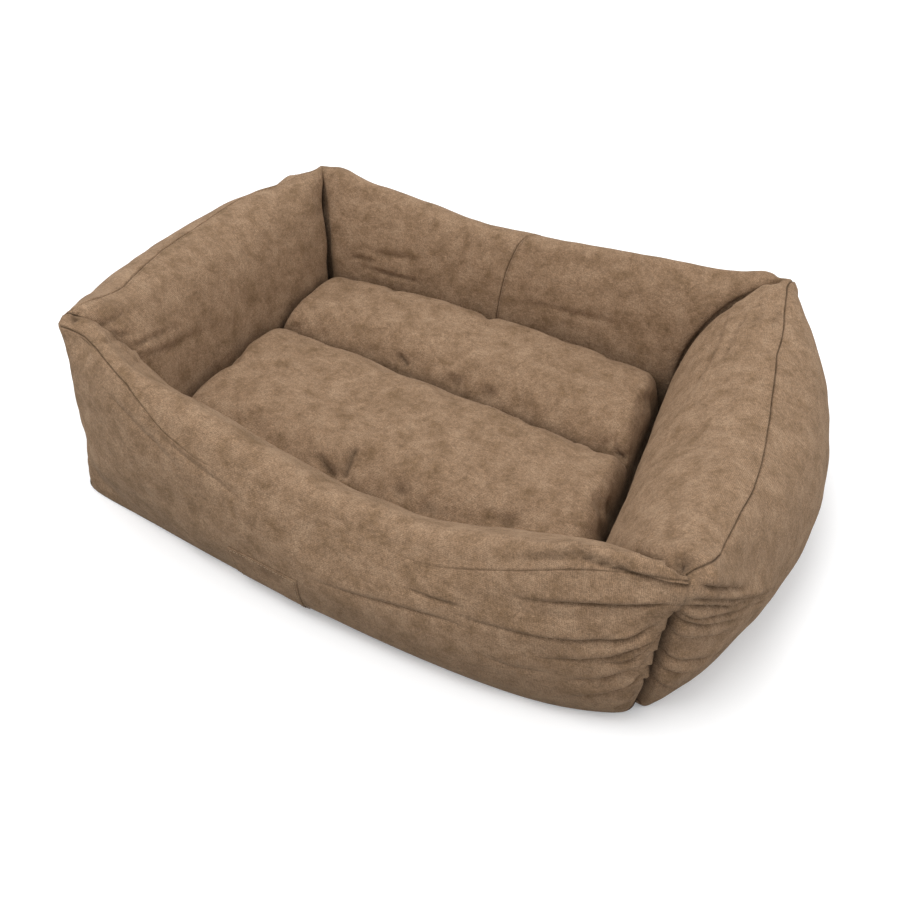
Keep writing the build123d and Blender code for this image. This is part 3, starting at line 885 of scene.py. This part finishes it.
def sew_back(surface, places, rows):
    """The upright seam in the back wall's inner side, with shade painted into it."""
    seam = nearest(places, back_seam_place)
    inner = (rows > 1) & (rows < 2)
    surface.rise[seam, inner] -= seam_depth
    surface.mark(seam, inner, 1)
    for column in (seam - 2, seam + 2):
        surface.rise[column, inner] += seam_puff


def crease_corners(surface, places, rows):
    """The corners where two walls meet: drawn in outside, and a joint between them inside, with
    shade painted into both.
    """
    outer = rows < 1
    inner = (rows > 1) & (rows < 2)
    for number, name in enumerate(corner_names):
        corner = nearest(places, number)
        distance = np.linalg.norm(surface.table - surface.table[corner], axis=2)
        below = tip_heights[name] - surface.table[:, :, 2]
        fade = ease((below - outer_crease_start) / crease_fade_height)
        crease = outer_crease_depths[name] * np.exp(-distance / outer_crease_width)
        surface.rise[:, outer] -= (crease * fade)[:, outer]
        surface.mark(slice(None), outer, (np.exp(-distance / corner_shade_width) * fade)[:, outer])
        fade = ease((below - inner_crease_start) / inner_fade_height)
        crease = inner_crease_depth * np.exp(-distance / inner_crease_width)
        crease += inner_round_depths[name] * np.exp(-(distance / inner_round_width) ** 2)
        surface.rise[:, inner] -= (crease * fade)[:, inner]
        surface.mark(slice(None), inner, (np.exp(-distance / corner_shade_width) * fade)[:, inner])


def puff_tips(surface, places, rows):
    for place, row, height, reach in tip_puffs:
        column = nearest(places, place % ring_turn)
        point = surface.table[column, nearest(rows, row)]
        surface.dent(point, -height, reach)
    for pixel, depth, reach in tip_pits:
        surface.press_seen(pixel, depth, reach, tip_pit_shade)


def fold_walls(surface):
    """The creases and folds that the photograph shows, and the same ones behind."""
    for kind, pixel_lines in wall_folds:
        for pixels in pixel_lines:
            line = surface.line(pixels)
            surface.fold(line, kind)
            if line[:, 1].max() < 0 and kind in kinds_behind:
                surface.fold(line_behind(surface, line), kind)


def line_behind(surface, line):
    """The same line on the far side of the bed, which the photograph doesn't show."""
    turned = line * np.array([-1, -1, 1])
    return np.array([surface.tree.find_nearest(Vector(point))[0] for point in turned.tolist()])


trial_places, trial_rows, trial_shift = ring_shift()
fine_places = fine_ring_places()
fine_rows = fine_ring_rows()
ring = ring_points(fine_places, fine_rows)
fine_shift = read_shift(trial_shift, trial_places, trial_rows, fine_places, fine_rows,
                        (ring_turn, 3))
ring = ring + fine_shift * ease(ring[:, :, 2:] / still_foot_height)
ring_surface = Surface(ring, True)
ring_surface.make_uneven()
ring_surface.rise *= ease(ring[:, :, 2] / even_foot_height)
puff_tips(ring_surface, fine_places, fine_rows)
fold_walls(ring_surface)
sew_crest(ring_surface, fine_places, fine_rows)
sew_back(ring_surface, fine_places, fine_rows)
ring_surface.rise[:, fine_rows >= 2] = 0
ring_surface.rise[:, 0] = 0
crease_corners(ring_surface, fine_places, fine_rows)
# Painted shade low on the inner sides and at the outer feet
ring_surface.paint_low_shade(fine_rows > 1, gap_shade_strength)
ring_surface.paint_low_shade(fine_rows < 1, foot_shade_strength)
ring = ring_surface.finished()


# Materials

def linear(value):
    value = value / 255
    return value / 12.92 if value <= 0.04045 else ((value + 0.055) / 1.055) ** 2.4


def tone(red, green, blue):
    return (linear(red), linear(green), linear(blue), 1)


def grey(value):
    return (value, value, value, 1)


class Nodes:
    """A short way to write a material's nodes."""

    def __init__(self, name):
        self.material = bpy.data.materials.new(name)
        self.material.use_nodes = True
        self.tree = self.material.node_tree
        self.shader = self.tree.nodes["Principled BSDF"]
        place = self.tree.nodes.new("ShaderNodeTexCoord")
        self.place = place.outputs["Object"]
        self.cloth_place = place.outputs["UV"]

    def fill(self, node, inputs):
        """Gives each input a plain value, or links another node's output to it."""
        for name, value in inputs.items():
            if isinstance(value, bpy.types.NodeSocket):
                self.tree.links.new(value, node.inputs[name])
            else:
                node.inputs[name].default_value = value

    def add(self, kind, output, inputs, **settings):
        """One output of a new node."""
        node = self.tree.nodes.new("ShaderNode" + kind)
        for name, value in settings.items():
            setattr(node, name, value)
        self.fill(node, inputs)
        return node.outputs[output]

    def noise(self, scale, detail, rough, distortion=0.0, place=None):
        return self.add("TexNoise", "Fac", {
            "Scale": scale, "Detail": detail, "Roughness": rough, "Distortion": distortion,
            "Vector": place or self.place})

    def stretched(self, scale):
        return self.add("Mapping", "Vector", {"Scale": scale, "Vector": self.place})

    def stored(self, name):
        return self.add("Attribute", "Fac", {}, attribute_name=name)

    def ramp(self, factor, stops):
        node = self.tree.nodes.new("ShaderNodeValToRGB")
        elements = node.color_ramp.elements
        while len(elements) < len(stops):
            elements.new(0.5)
        for element, (position, colour) in zip(elements, stops):
            element.position = position
            element.color = colour
        self.fill(node, {"Fac": factor})
        return node.outputs["Color"]

    def multiply(self, factor, first, second):
        return self.add("Mix", "Result", {"Factor": factor, "A": first, "B": second},
                        data_type="RGBA", blend_type="MULTIPLY")

    def math(self, operation, first, second):
        return self.add("Math", "Value", {0: first, 1: second}, operation=operation)

    def blend(self, first, second, first_share, second_share):
        """The sum of two grains, each with its share."""
        return self.math("ADD", self.math("MULTIPLY", first, first_share),
                         self.math("MULTIPLY", second, second_share))

    def varied(self, grain, reach, low):
        """A roughness that rises from low with a grain."""
        return self.math("ADD", self.math("MULTIPLY", grain, reach), low)

    def waves(self, scale, direction, distortion):
        return self.add("TexWave", "Fac", {
            "Scale": scale, "Distortion": distortion, "Detail": 1.0,
            "Vector": self.cloth_place}, bands_direction=direction)

    def bump(self, grain, height, strength, before=None):
        inputs = {"Strength": strength, "Distance": height, "Height": grain}
        if before is not None:
            inputs["Normal"] = before
        return self.add("Bump", "Normal", inputs)

    def finish(self, colour, roughness, normal, constants):
        """Links the shader to its nodes and sets the values that are the same all over."""
        self.fill(self.shader, {"Base Color": colour, "Roughness": roughness,
                                "Normal": normal, **constants})
        return self.material


# How fine each grain is, on the object or on the flat cloth, and how high it stands
nap_patch_scale = 38.0
brushed_scale = 150.0
brushed_stretch = (1.0, 1.3, 1.6)
brushed_height = 0.003
warp_scale = 190.0
weft_scale = 160.0
fibre_scale = 520.0
grain_height = 0.0014
lining_thread_scale = 260.0
tape_thread_scale = 520.0
twisted_thread_scale = 700.0
streak_scale = 34.0
streak_stretch = (5.0, 1.0, 1.0)
weave_height = 0.0006
clump_scale = 45.0
clump_height = 0.004
tangle_scale = 420.0
tangle_height = 0.001
mottle_scale = 260.0
scuff_scale = 900.0
scuff_stretch = (0.25, 1.0, 1.0)
scuff_height = 0.0002


def make_velour(name, dark, middle, light):
    """Brushed cloth with a fine woven grain and patches where the nap lies another way.

    Shade is painted into creases, seams, pits and low down, from the stored crease value.
    """
    nodes = Nodes(name)
    patches = nodes.noise(nap_patch_scale, detail=6.0, rough=0.72, distortion=0.2)
    colour = nodes.ramp(patches, [(0.32, dark), (0.50, middle), (0.68, light)])
    brushed = nodes.noise(brushed_scale, detail=4.0, rough=0.7,
                          place=nodes.stretched(brushed_stretch))
    shade = nodes.ramp(brushed, [(0.3, grey(0.78)), (0.7, grey(1.15))])
    colour = nodes.multiply(0.85, colour, shade)
    warp = nodes.waves(warp_scale, "X", distortion=3.5)
    weft = nodes.waves(weft_scale, "Y", distortion=3.5)
    weave = nodes.math("MULTIPLY", nodes.math("ADD", warp, weft), 0.5)
    fibres = nodes.noise(fibre_scale, detail=3.0, rough=0.75)
    grain = nodes.blend(weave, fibres, first_share=0.22, second_share=0.78)
    grain_shade = nodes.ramp(grain, [(0.32, grey(0.52)), (0.68, grey(1.34))])
    colour = nodes.multiply(0.9, colour, grain_shade)
    # Painted shade: darker where the stored crease value is high
    painted_shade = nodes.ramp(nodes.stored("crease"), [(0.05, grey(1)), (0.95, grey(0.42))])
    colour = nodes.multiply(1.0, colour, painted_shade)
    soft = nodes.bump(brushed, brushed_height, strength=0.45)
    normal = nodes.bump(grain, grain_height, strength=0.60, before=soft)
    return nodes.finish(colour, nodes.varied(patches, reach=0.12, low=0.80), normal, {
        "Sheen Weight": 0.16, "Sheen Roughness": 0.45, "Sheen Tint": tone(214, 190, 160),
        "Specular IOR Level": 0.15})


def make_woven(name, dark, light, scale):
    """A plain woven cloth: threads that cross, with slight streaks along them."""
    nodes = Nodes(name)
    warp = nodes.waves(scale, "X", distortion=0.6)
    weft = nodes.waves(scale, "Y", distortion=0.6)
    weave = nodes.math("MULTIPLY", warp, weft)
    streaks = nodes.noise(streak_scale, detail=4.0, rough=0.6,
                          place=nodes.stretched(streak_stretch))
    mixed = nodes.blend(weave, streaks, first_share=0.6, second_share=0.5)
    colour = nodes.ramp(mixed, [(0.2, dark), (0.8, light)])
    normal = nodes.bump(weave, weave_height, strength=0.5)
    return nodes.finish(colour, nodes.varied(streaks, reach=0.15, low=0.76), normal, {
        "Sheen Weight": 0.10, "Specular IOR Level": 0.20})


def make_wadding(name, dark, light):
    """Fibre wadding: soft clumps under tangled fibres."""
    nodes = Nodes(name)
    clumps = nodes.noise(clump_scale, detail=5.0, rough=0.65, distortion=0.6)
    tangle = nodes.noise(tangle_scale, detail=4.0, rough=0.8, distortion=1.5)
    colour = nodes.ramp(clumps, [(0.3, dark), (0.7, light)])
    colour = nodes.multiply(0.6, colour, nodes.ramp(tangle, [(0.3, grey(0.8)), (0.7, grey(1))]))
    soft = nodes.bump(clumps, clump_height, strength=0.5)
    normal = nodes.bump(tangle, tangle_height, strength=0.6, before=soft)
    return nodes.finish(colour, nodes.varied(tangle, reach=0.1, low=0.88), normal,
                        {"Sheen Weight": 0.20})


def make_hard(name, dark, light, roughness_low, metal):
    """Moulded plastic or painted metal: slightly mottled, with fine scuffs."""
    nodes = Nodes(name)
    mottle = nodes.noise(mottle_scale, detail=4.0, rough=0.6)
    scuffs = nodes.noise(scuff_scale, detail=3.0, rough=0.7,
                         place=nodes.stretched(scuff_stretch))
    mixed = nodes.math("MULTIPLY", nodes.math("ADD", mottle, scuffs), 0.5)
    colour = nodes.ramp(mixed, [(0.35, dark), (0.65, light)])
    normal = nodes.bump(scuffs, scuff_height, strength=0.25)
    return nodes.finish(colour, nodes.varied(scuffs, reach=0.25, low=roughness_low), normal,
                        {"Metallic": metal})


velour_patch = make_velour("velour_patch", tone(116, 91, 69), tone(138, 112, 88),
                           tone(154, 128, 102))
lining_cloth = make_woven("lining_cloth", tone(66, 54, 44), tone(92, 77, 63),
                          lining_thread_scale)
fibre_fill = make_wadding("fibre_fill", tone(226, 223, 216), tone(243, 241, 236))
tape_cloth = make_woven("zip_tape", tone(92, 74, 58), tone(120, 98, 78), tape_thread_scale)
thread = make_woven("thread", tone(150, 126, 100), tone(186, 160, 130), twisted_thread_scale)
tooth_plastic = make_hard("zip_teeth", tone(84, 67, 52), tone(108, 88, 69), 0.42, 0)
slider_metal = make_hard("zip_metal", tone(92, 75, 60), tone(120, 99, 80), 0.30, 0.6)

velour = make_velour("velour", tone(123, 98, 73), tone(146, 119, 94), tone(162, 135, 109))


# The four walls, cut from the ring

for number, name in enumerate(wall_names):
    first = nearest(fine_places, number)
    last = int(np.searchsorted(fine_places, number + 1 - same_place))
    columns = np.arange(first, last + 1) % len(fine_places)
    table = ring[columns]
    mesh = tube_mesh(name + "_wall", table)
    store_painted_shade(mesh, ring_surface.crease[columns])
    piece = new_piece(name + "_wall", mesh, velour)
    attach(piece, "basket")
    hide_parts(name + "_wall_fill", name + "_outer_cover")
    if name == "back":
        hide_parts("back_inner_cover_left", "back_inner_cover_right")
    else:
        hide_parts(name + "_inner_cover")


# Base cloths and wadding

base_inset = 0.010
base_sheet_heights = (0.0, 0.0016)
floor_inset = 0.003
wadding_heights = (0.0019, 0.0074)
lining_heights = (0.0077, 0.0085)
layer_shares = (0.1, 0.3, 0.5, 0.7, 0.85, 0.94, 0.985)
layer_edge_share = 0.3


def foot_line(row, inset):
    """The line of the walls' outer or inner feet, drawn in towards the middle."""
    points = ring[::3, nearest(fine_rows, row), :2]
    inward = points.mean(axis=0) - points
    return points + inward * (inset / np.linalg.norm(inward, axis=1, keepdims=True))


def make_layer(name, line, heights, material):
    """A closed flat layer of cloth or wadding inside a line, with a rounded edge."""
    low, high = heights
    middle = line.mean(axis=0)
    soft = (high - low) * layer_edge_share
    runs = [(share, low) for share in layer_shares] + [(1, low + soft), (1, high - soft)]
    runs += [(share, high) for share in reversed(layer_shares)]
    table = np.zeros((len(line), len(runs), 3))
    for step, (share, height) in enumerate(runs):
        table[:, step, :2] = middle + (line - middle) * share
        table[:, step, 2] = height
    columns, rows = table.shape[:2]
    faces = [[column * rows for column in reversed(range(columns))],
             [column * rows + rows - 1 for column in range(columns)]]
    faces += grid_faces(columns, rows, True, closed=False)
    mesh = built_mesh(name, table, faces, table[:, :, :2])
    piece = new_piece(name + "_layer", mesh, material)
    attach(piece, "basket")
    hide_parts(name)
    return piece


base_line = foot_line(0, base_inset)
floor_line = foot_line(2, floor_inset)
base_sheet = make_layer("base_sheet", base_line, base_sheet_heights, lining_cloth)
base_wadding = make_layer("base_wadding", floor_line, wadding_heights, fibre_fill)
floor_lining = make_layer("floor_lining", floor_line, lining_heights, lining_cloth)


# Patch sewn low on the front wall

patch_ends = (-0.1140, -0.0080)
patch_heights = (0.0090, 0.0780)
patch_hem = 0.0035
patch_gap = 0.0006
patch_thickness = 0.0010
patch_groove = 0.0004
patch_edge_step = 0.0006
patch_edge_share = 0.4
patch_columns = 44
patch_rows = 24
stitch_length = 0.0034
stitch_pitch = 0.0046
stitch_radius = 0.00045
stitch_sides = 6
stitch_rise_share = 1.2
stitch_thickness_shares = ((0, 0.35), (0.2, 0.9), (0.5, 1), (0.8, 0.9), (1, 0.35))
ray_start_y = -0.6

ring_skin = Surface(ring, True)


def wall_front(x, z, lift):
    """A point over the front wall's outer side, straight in front of it."""
    point, normal = ring_skin.tree.ray_cast(Vector((x, ray_start_y, z)), Vector((0, 1, 0)))[:2]
    if normal.y > 0:
        normal = -normal
    return point + normal * lift


def hemmed(first, last, count):
    """Even places from first to last, with closer ones at the edges and the sewn lines."""
    places = np.linspace(first, last, count).tolist()
    for edge, inward in ((first, 1), (last, -1)):
        for offset in (patch_edge_step, patch_hem - patch_edge_step, patch_hem,
                       patch_hem + patch_edge_step):
            places.append(edge + inward * offset)
    return sorted(places)


def make_front_patch():
    across = hemmed(*patch_ends, patch_columns)
    up = hemmed(*patch_heights, patch_rows)
    table = []
    for x in across:
        outer = []
        inner = []
        for z in up:
            edge = min(x - patch_ends[0], patch_ends[1] - x, patch_heights[1] - z)
            rise = min(1, patch_edge_share + max(edge, 0) / patch_edge_step)
            lift = patch_gap + patch_thickness * rise
            if abs(edge - patch_hem) < patch_edge_step / 2:
                lift -= patch_groove
            outer.append(wall_front(x, z, lift))
            inner.append(wall_front(x, z, patch_gap))
        table.append(outer + inner[::-1])
    table = np.array(table)
    name = "front_patch_cloth"
    piece = new_piece(name, tube_mesh(name, table), velour_patch)
    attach(piece, "basket")
    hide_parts("front_patch")
    stitches = make_stitches()


def stitch_lines():
    """The ends of each stitch along the patch's two sides and top."""
    left, right = patch_ends[0] + patch_hem, patch_ends[1] - patch_hem
    low, high = patch_heights[0] + patch_hem, patch_heights[1] - patch_hem
    runs = [((left, low), (left, high)), ((left, high), (right, high)),
            ((right, high), (right, low))]
    ends = []
    for first, last in runs:
        length = hypot(last[0] - first[0], last[1] - first[1])
        count = int(length / stitch_pitch)
        for number in range(count):
            start = (number + 0.5) / count - stitch_length / 2 / length
            stop = start + stitch_length / length
            ends.append([(between(first[0], last[0], share), between(first[1], last[1], share))
                         for share in (start, stop)])
    return ends


def make_stitches():
    """Short threads that lie over the patch and dip into it at both ends."""
    points = []
    faces = []
    stitch_faces = tube_faces(len(stitch_thickness_shares), stitch_sides)
    for first, last in stitch_lines():
        faces += [[len(points) + corner for corner in face] for face in stitch_faces]
        for share, size in stitch_thickness_shares:
            x = between(first[0], last[0], share)
            z = between(first[1], last[1], share)
            lift = patch_gap + patch_thickness
            lift += stitch_radius * (stitch_rise_share * hump(share))
            middle = wall_front(x, z, lift)
            along = Vector((last[0] - first[0], 0, last[1] - first[1])).normalized()
            aside = along.cross(Vector((0, 1, 0))).normalized()
            for side in range(stitch_sides):
                angle = 2 * pi * side / stitch_sides
                spread = aside * cos(angle) + Vector((0, 1, 0)) * sin(angle)
                points.append(middle + spread * (stitch_radius * size))
    points = np.array(points)
    mesh = built_mesh("patch_stitches", points, faces, points[:, [0, 2]])
    piece = new_piece("patch_stitches", mesh, thread)
    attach(piece, "basket")
    return piece


make_front_patch()


# Cushion

cushion_wall_gap = 0.003
cushion_bottom = 0.0090
cushion_crown_height = 0.114
cushion_edge_height = 0.052
channel_floor_height = 0.054
channel_left_share = 0.65
channel_right_share = 0.55
cushion_corner_round = 0.012
cushion_flank_run = 0.034
cushion_left_run_share = 0.07
cushion_right_run_share = 0.05
cushion_right_edge_height = 0.034
cushion_right_edge_share = 0.90
cushion_right_draw = 0.007
front_rim_power = 3.2
rear_rim_power = 5
bank_power = 4
cushion_cap = 0.007
lobe_roundness_share = 0.4
left_end_powers = (3, 0.4)
right_end_powers = (2, 0.5)
trial_cushion_columns = 44
trial_cushion_rows = (18, 14, 24)
fine_cushion_columns = 150
fine_cushion_rows = (60, 48, 50)
cushion_crowding = 0.5
top_crowding = 0.6
flat_rows = (1.06, 1.94)
recess_ends = (-0.2375, 0.1615)
recess_sides = (0.1750, 0.1410)
recess_top = 0.0262
recess_row_shares = (0.15, 0.235)
recess_edge_share = 0.0008


def pulled_in(corner):
    room = corner_inner_belly + cushion_wall_gap
    sign_x = 1 if corner.x > 0 else -1
    sign_y = 1 if corner.y > 0 else -1
    draw = cushion_right_draw if sign_x > 0 else 0
    return corner - Vector((sign_x * room + draw, sign_y * room, 0))


cushion_corners = {name: pulled_in(corner) for name, corner in hollow_corners.items()}


def end_rise(share, run_share, powers):
    """How far the cushion has risen at a share of its length from an end seam."""
    inner_power, outer_power = powers
    return (1 - (1 - min(share / run_share, 1)) ** inner_power) ** outer_power


def end_swell(share):
    """The cushion is thin at its end seams and soon reaches its full height."""
    return (end_rise(share, cushion_left_run_share, left_end_powers)
            * end_rise(1 - share, cushion_right_run_share, right_end_powers))


def lobe(share, near_power, far_power):
    """A plump rise over a lobe, squarer at a rim than at the channel's bank."""
    power = near_power if share < 0.5 else far_power
    return (1 - abs(2 * share - 1) ** power) ** lobe_roundness_share


def cushion_point(share, row):
    """Row 0 to 1 crosses the top from front to rear, with the channel at 0.5.

    Row 1 to 2 comes back underneath.
    """
    near = between(cushion_corners["front_left"], cushion_corners["front_right"], share)
    far = between(cushion_corners["back_left"], cushion_corners["back_right"], share)
    swell = end_swell(share)
    round_off = cushion_corner_round * (1 - swell)
    near = near + Vector((0, round_off, 0))
    far = far + Vector((0, walls["back"].hollow_bow * hump(share) - round_off, 0))
    past = (share - cushion_right_edge_share) / (1 - cushion_right_edge_share)
    edge_height = between(cushion_edge_height, cushion_right_edge_height, ease(past))
    if row > 1:
        edge = min(row - 1, 2 - row) * (far - near).length
        drop = sqrt(ease(edge / cushion_flank_run))
        height = between(edge_height, cushion_bottom, drop * swell)
        place = between(near, far, 2 - row)
        place.y = bottom_y(near.y, far.y, row - 1)
        return place.x, place.y, height
    channel_share = between(channel_left_share, channel_right_share, share)
    if row <= 0.5:
        lobe_share = 2 * row
        across_share = lobe_share * channel_share
        rise = lobe(lobe_share, front_rim_power, bank_power)
        base = between(edge_height, channel_floor_height, lobe_share)
    else:
        lobe_share = 2 * row - 1
        across_share = between(channel_share, 1, lobe_share)
        rise = lobe(lobe_share, bank_power, rear_rim_power)
        base = between(channel_floor_height, edge_height, lobe_share)
    place = between(near, far, across_share)
    height = between(base, cushion_crown_height, rise)
    return place.x, place.y, between(edge_height, height, swell)


def bottom_y(near_y, far_y, share):
    """How far back an underside row is: the rows beside the zip's recess run straight."""
    return float(np.interp(share, (0, *recess_row_shares, 1), (far_y, *recess_sides, near_y)))


def recess_shares():
    """The columns at the two ends of the zip's recess."""
    middle_row = 1 + sum(recess_row_shares) / 2
    left = cushion_point(0, middle_row)[0]
    right = cushion_point(1, middle_row)[0]
    return [(end - left) / (right - left) for end in recess_ends]


def edged(places, edges):
    """Places with a close pair added at each edge of the recess, one just outside it."""
    first, last = edges
    extra = [first - recess_edge_share, first, last, last + recess_edge_share]
    kept = [place for place in places
            if min(abs(place - edge) for edge in extra) > recess_edge_share]
    return np.array(sorted(kept + extra))


def press_recess(table, shares, rows):
    """Lifts the underside's points between the recess's edges to its top."""
    first_end, last_end = recess_shares()
    first_row, last_row = (1 + share for share in recess_row_shares)
    slack = recess_edge_share / 2
    columns = (shares > first_end - slack) & (shares < last_end + slack)
    inside = (rows > first_row - slack) & (rows < last_row + slack)
    table[np.ix_(columns, inside, [2])] = recess_top


def cushion_points(shares, rows):
    return np.array([[cushion_point(share, row) for row in rows] for share in shares])


def cushion_shares(count):
    return spaced(count, cushion_crowding) + [1.0]


def cushion_rows(front_count, rear_count, bottom_count):
    rows = [share / 2 for share in spaced(front_count, top_crowding)]
    rows += [(1 + share) / 2 for share in spaced(rear_count, top_crowding)]
    return rows + [1 + share for share in spaced(bottom_count, cushion_crowding)]


def held_cushion(shares, rows):
    """The cushion's cloth is held at its edge seam, along the channel and underneath."""
    held = np.zeros((len(shares), len(rows)))
    for step, row in enumerate(rows):
        if row in (0, 0.5, 1) or flat_rows[0] < row < flat_rows[1]:
            held[:, step] = 1
    held[0, :] = 1
    held[-1, :] = 1
    return held


# Lines and dents that the photograph shows on the cushion, with shade painted into them
cushion_fold_pixels = [
    [(317, 450), (324, 463), (333, 479)],
    [(360, 441), (351, 458), (341, 481)],
    [(396, 351), (402, 359), (408, 368)],
    [(612, 452), (620, 455), (630, 460)],
]
cushion_dent_pixels = [(331, 474), (400, 492), (427, 510), (508, 522), (455, 384), (488, 394)]
cushion_dent_depth = 0.007
cushion_dent_reach = 0.011
# How dark the shade painted into the dents is
cushion_dent_shade = 0.40
cushion_fold = {"depth": 0.0090, "width": 0.0042, "lip": 0.0025, "lip_width": 0.008,
                "fade_shares": (0.3, 0.1), "painted_shade": 0.75}


def make_cushion():
    shares = cushion_shares(trial_cushion_columns)
    rows = cushion_rows(*trial_cushion_rows)
    fine_shares = edged(cushion_shares(fine_cushion_columns), recess_shares())
    fine_rows = edged(cushion_rows(*fine_cushion_rows),
                      [1 + share for share in recess_row_shares])
    table = cushion_points(fine_shares, fine_rows)
    shift = blown_up(cushion_points(shares, rows), held_cushion(shares, rows),
                     cushion_cap, False)
    table = table + read_shift(shift, shares, rows, fine_shares, fine_rows, (0, 2))
    surface = Surface(table, False)
    surface.make_uneven()
    surface.rise[:, fine_rows > 1] = 0
    surface.rise *= np.array([end_swell(share) for share in fine_shares])[:, None]
    for pixels in cushion_fold_pixels:
        surface.fold(surface.line(pixels), cushion_fold)
    for pixel in cushion_dent_pixels:
        surface.press_seen(pixel, cushion_dent_depth, cushion_dent_reach,
                           cushion_dent_shade)
    surface.rise[:, (fine_rows > flat_rows[0]) & (fine_rows < flat_rows[1])] = 0
    table = surface.finished()
    press_recess(table, fine_shares, fine_rows)
    # Shade painted along the channel and low down on the cushion
    surface.mark(slice(None), nearest(fine_rows, 0.5), 1)
    surface.paint_low_shade(fine_rows <= 1, gap_shade_strength)
    mesh = tube_mesh("cushion_body", table)
    store_painted_shade(mesh, surface.crease)
    piece = new_piece("cushion_body", mesh, velour)
    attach(piece, "cushion")
    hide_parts("cushion_cover_top", "cushion_cover_bottom", "cushion_front_fill",
                "cushion_rear_fill", "cushion_divider")


make_cushion()


# Zip

tape_step = 0.006
tape_shares = (0, 0.03, 0.15, 0.5, 0.85, 0.97)
tape_bead = 0.00012
tape_bead_power = 0.3


def make_tape(node):
    """A woven tape as long as its place in the frame, with a bead at its edges."""
    low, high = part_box(node)
    count = int((high.x - low.x) / tape_step)
    table = np.zeros((count + 1, 2 * len(tape_shares), 3))
    for number in range(count + 1):
        x = between(low.x, high.x, number / count)
        for step, share in enumerate(tape_shares + tape_shares):
            under = step < len(tape_shares)
            thin = tape_bead * hump(share) ** tape_bead_power
            y = between(high.y, low.y, share) if under else between(low.y, high.y, share)
            table[number, step] = (x, y, low.z + thin if under else high.z - thin)
    name = node + "_cloth"
    piece = new_piece(name, tube_mesh(name, table), tape_cloth)
    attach(piece, "cushion")
    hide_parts(node)


make_tape("zip_tape_front")
make_tape("zip_tape_rear")
hard_nodes = {"zip_teeth_front": tooth_plastic, "zip_teeth_rear": tooth_plastic,
              "zip_stops": tooth_plastic, "zip_slider": slider_metal,
              "zip_slider_pin": slider_metal, "zip_pull": slider_metal}
for name, material in hard_nodes.items():
    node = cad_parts[name]
    for slot in node.material_slots:
        slot.material = material


# Floor, light and camera

floor_half = 12.0
floor_seen = 0.93
floor_bounce = 0.14
floor_glow = 0.12
floor_roughness = 0.9
sun_travel = (0.20, 0.30, -0.93)
sun_strength = 1.10
fill_travel = (-0.95, 0.22, -0.14)
fill_strength = 0.28
light_angle = 0.50
world_strength = 1.04


def make_floor():
    """A plain pale floor, which looks brighter to the camera than the light off it is."""
    nodes = Nodes("floor")
    shown = nodes.add("Math", "Value", {
        0: nodes.add("LightPath", "Is Camera Ray", {}),
        1: nodes.add("LightPath", "Is Glossy Ray", {})}, operation="ADD", use_clamp=True)
    tint = nodes.add("Mix", "Result", {
        "Factor": shown, "A": grey(floor_bounce), "B": grey(floor_seen)}, data_type="RGBA")
    nodes.fill(nodes.shader, {
        "Base Color": tint, "Roughness": floor_roughness,
        "Emission Color": tone(247, 250, 255),
        "Emission Strength": nodes.math("MULTIPLY", shown, floor_glow)})
    corners = np.array([(-floor_half, -floor_half, 0), (floor_half, -floor_half, 0),
                        (floor_half, floor_half, 0), (-floor_half, floor_half, 0)])
    mesh = built_mesh("floor", corners, [(0, 1, 2, 3)])
    mesh.materials.append(nodes.material)
    floor = bpy.data.objects.new("floor", mesh)
    bpy.context.scene.collection.objects.link(floor)


def make_world():
    world = bpy.data.worlds.new("studio")
    bpy.context.scene.world = world
    world.use_nodes = True
    background = world.node_tree.nodes["Background"]
    background.inputs["Color"].default_value = grey(1)
    background.inputs["Strength"].default_value = world_strength


def make_sun(name, travel, strength):
    sun = bpy.data.objects.new(name, bpy.data.lights.new(name, "SUN"))
    bpy.context.scene.collection.objects.link(sun)
    sun.data.angle = light_angle
    sun.data.energy = strength
    sun.rotation_mode = "QUATERNION"
    sun.rotation_quaternion = Vector(travel).to_track_quat("-Z", "Y")


make_floor()
make_world()
make_sun("sun", sun_travel, sun_strength)
make_sun("fill", fill_travel, fill_strength)
make_camera()
bpy.context.scene.view_settings.view_transform = "Standard"

bpy.context.view_layer.update()
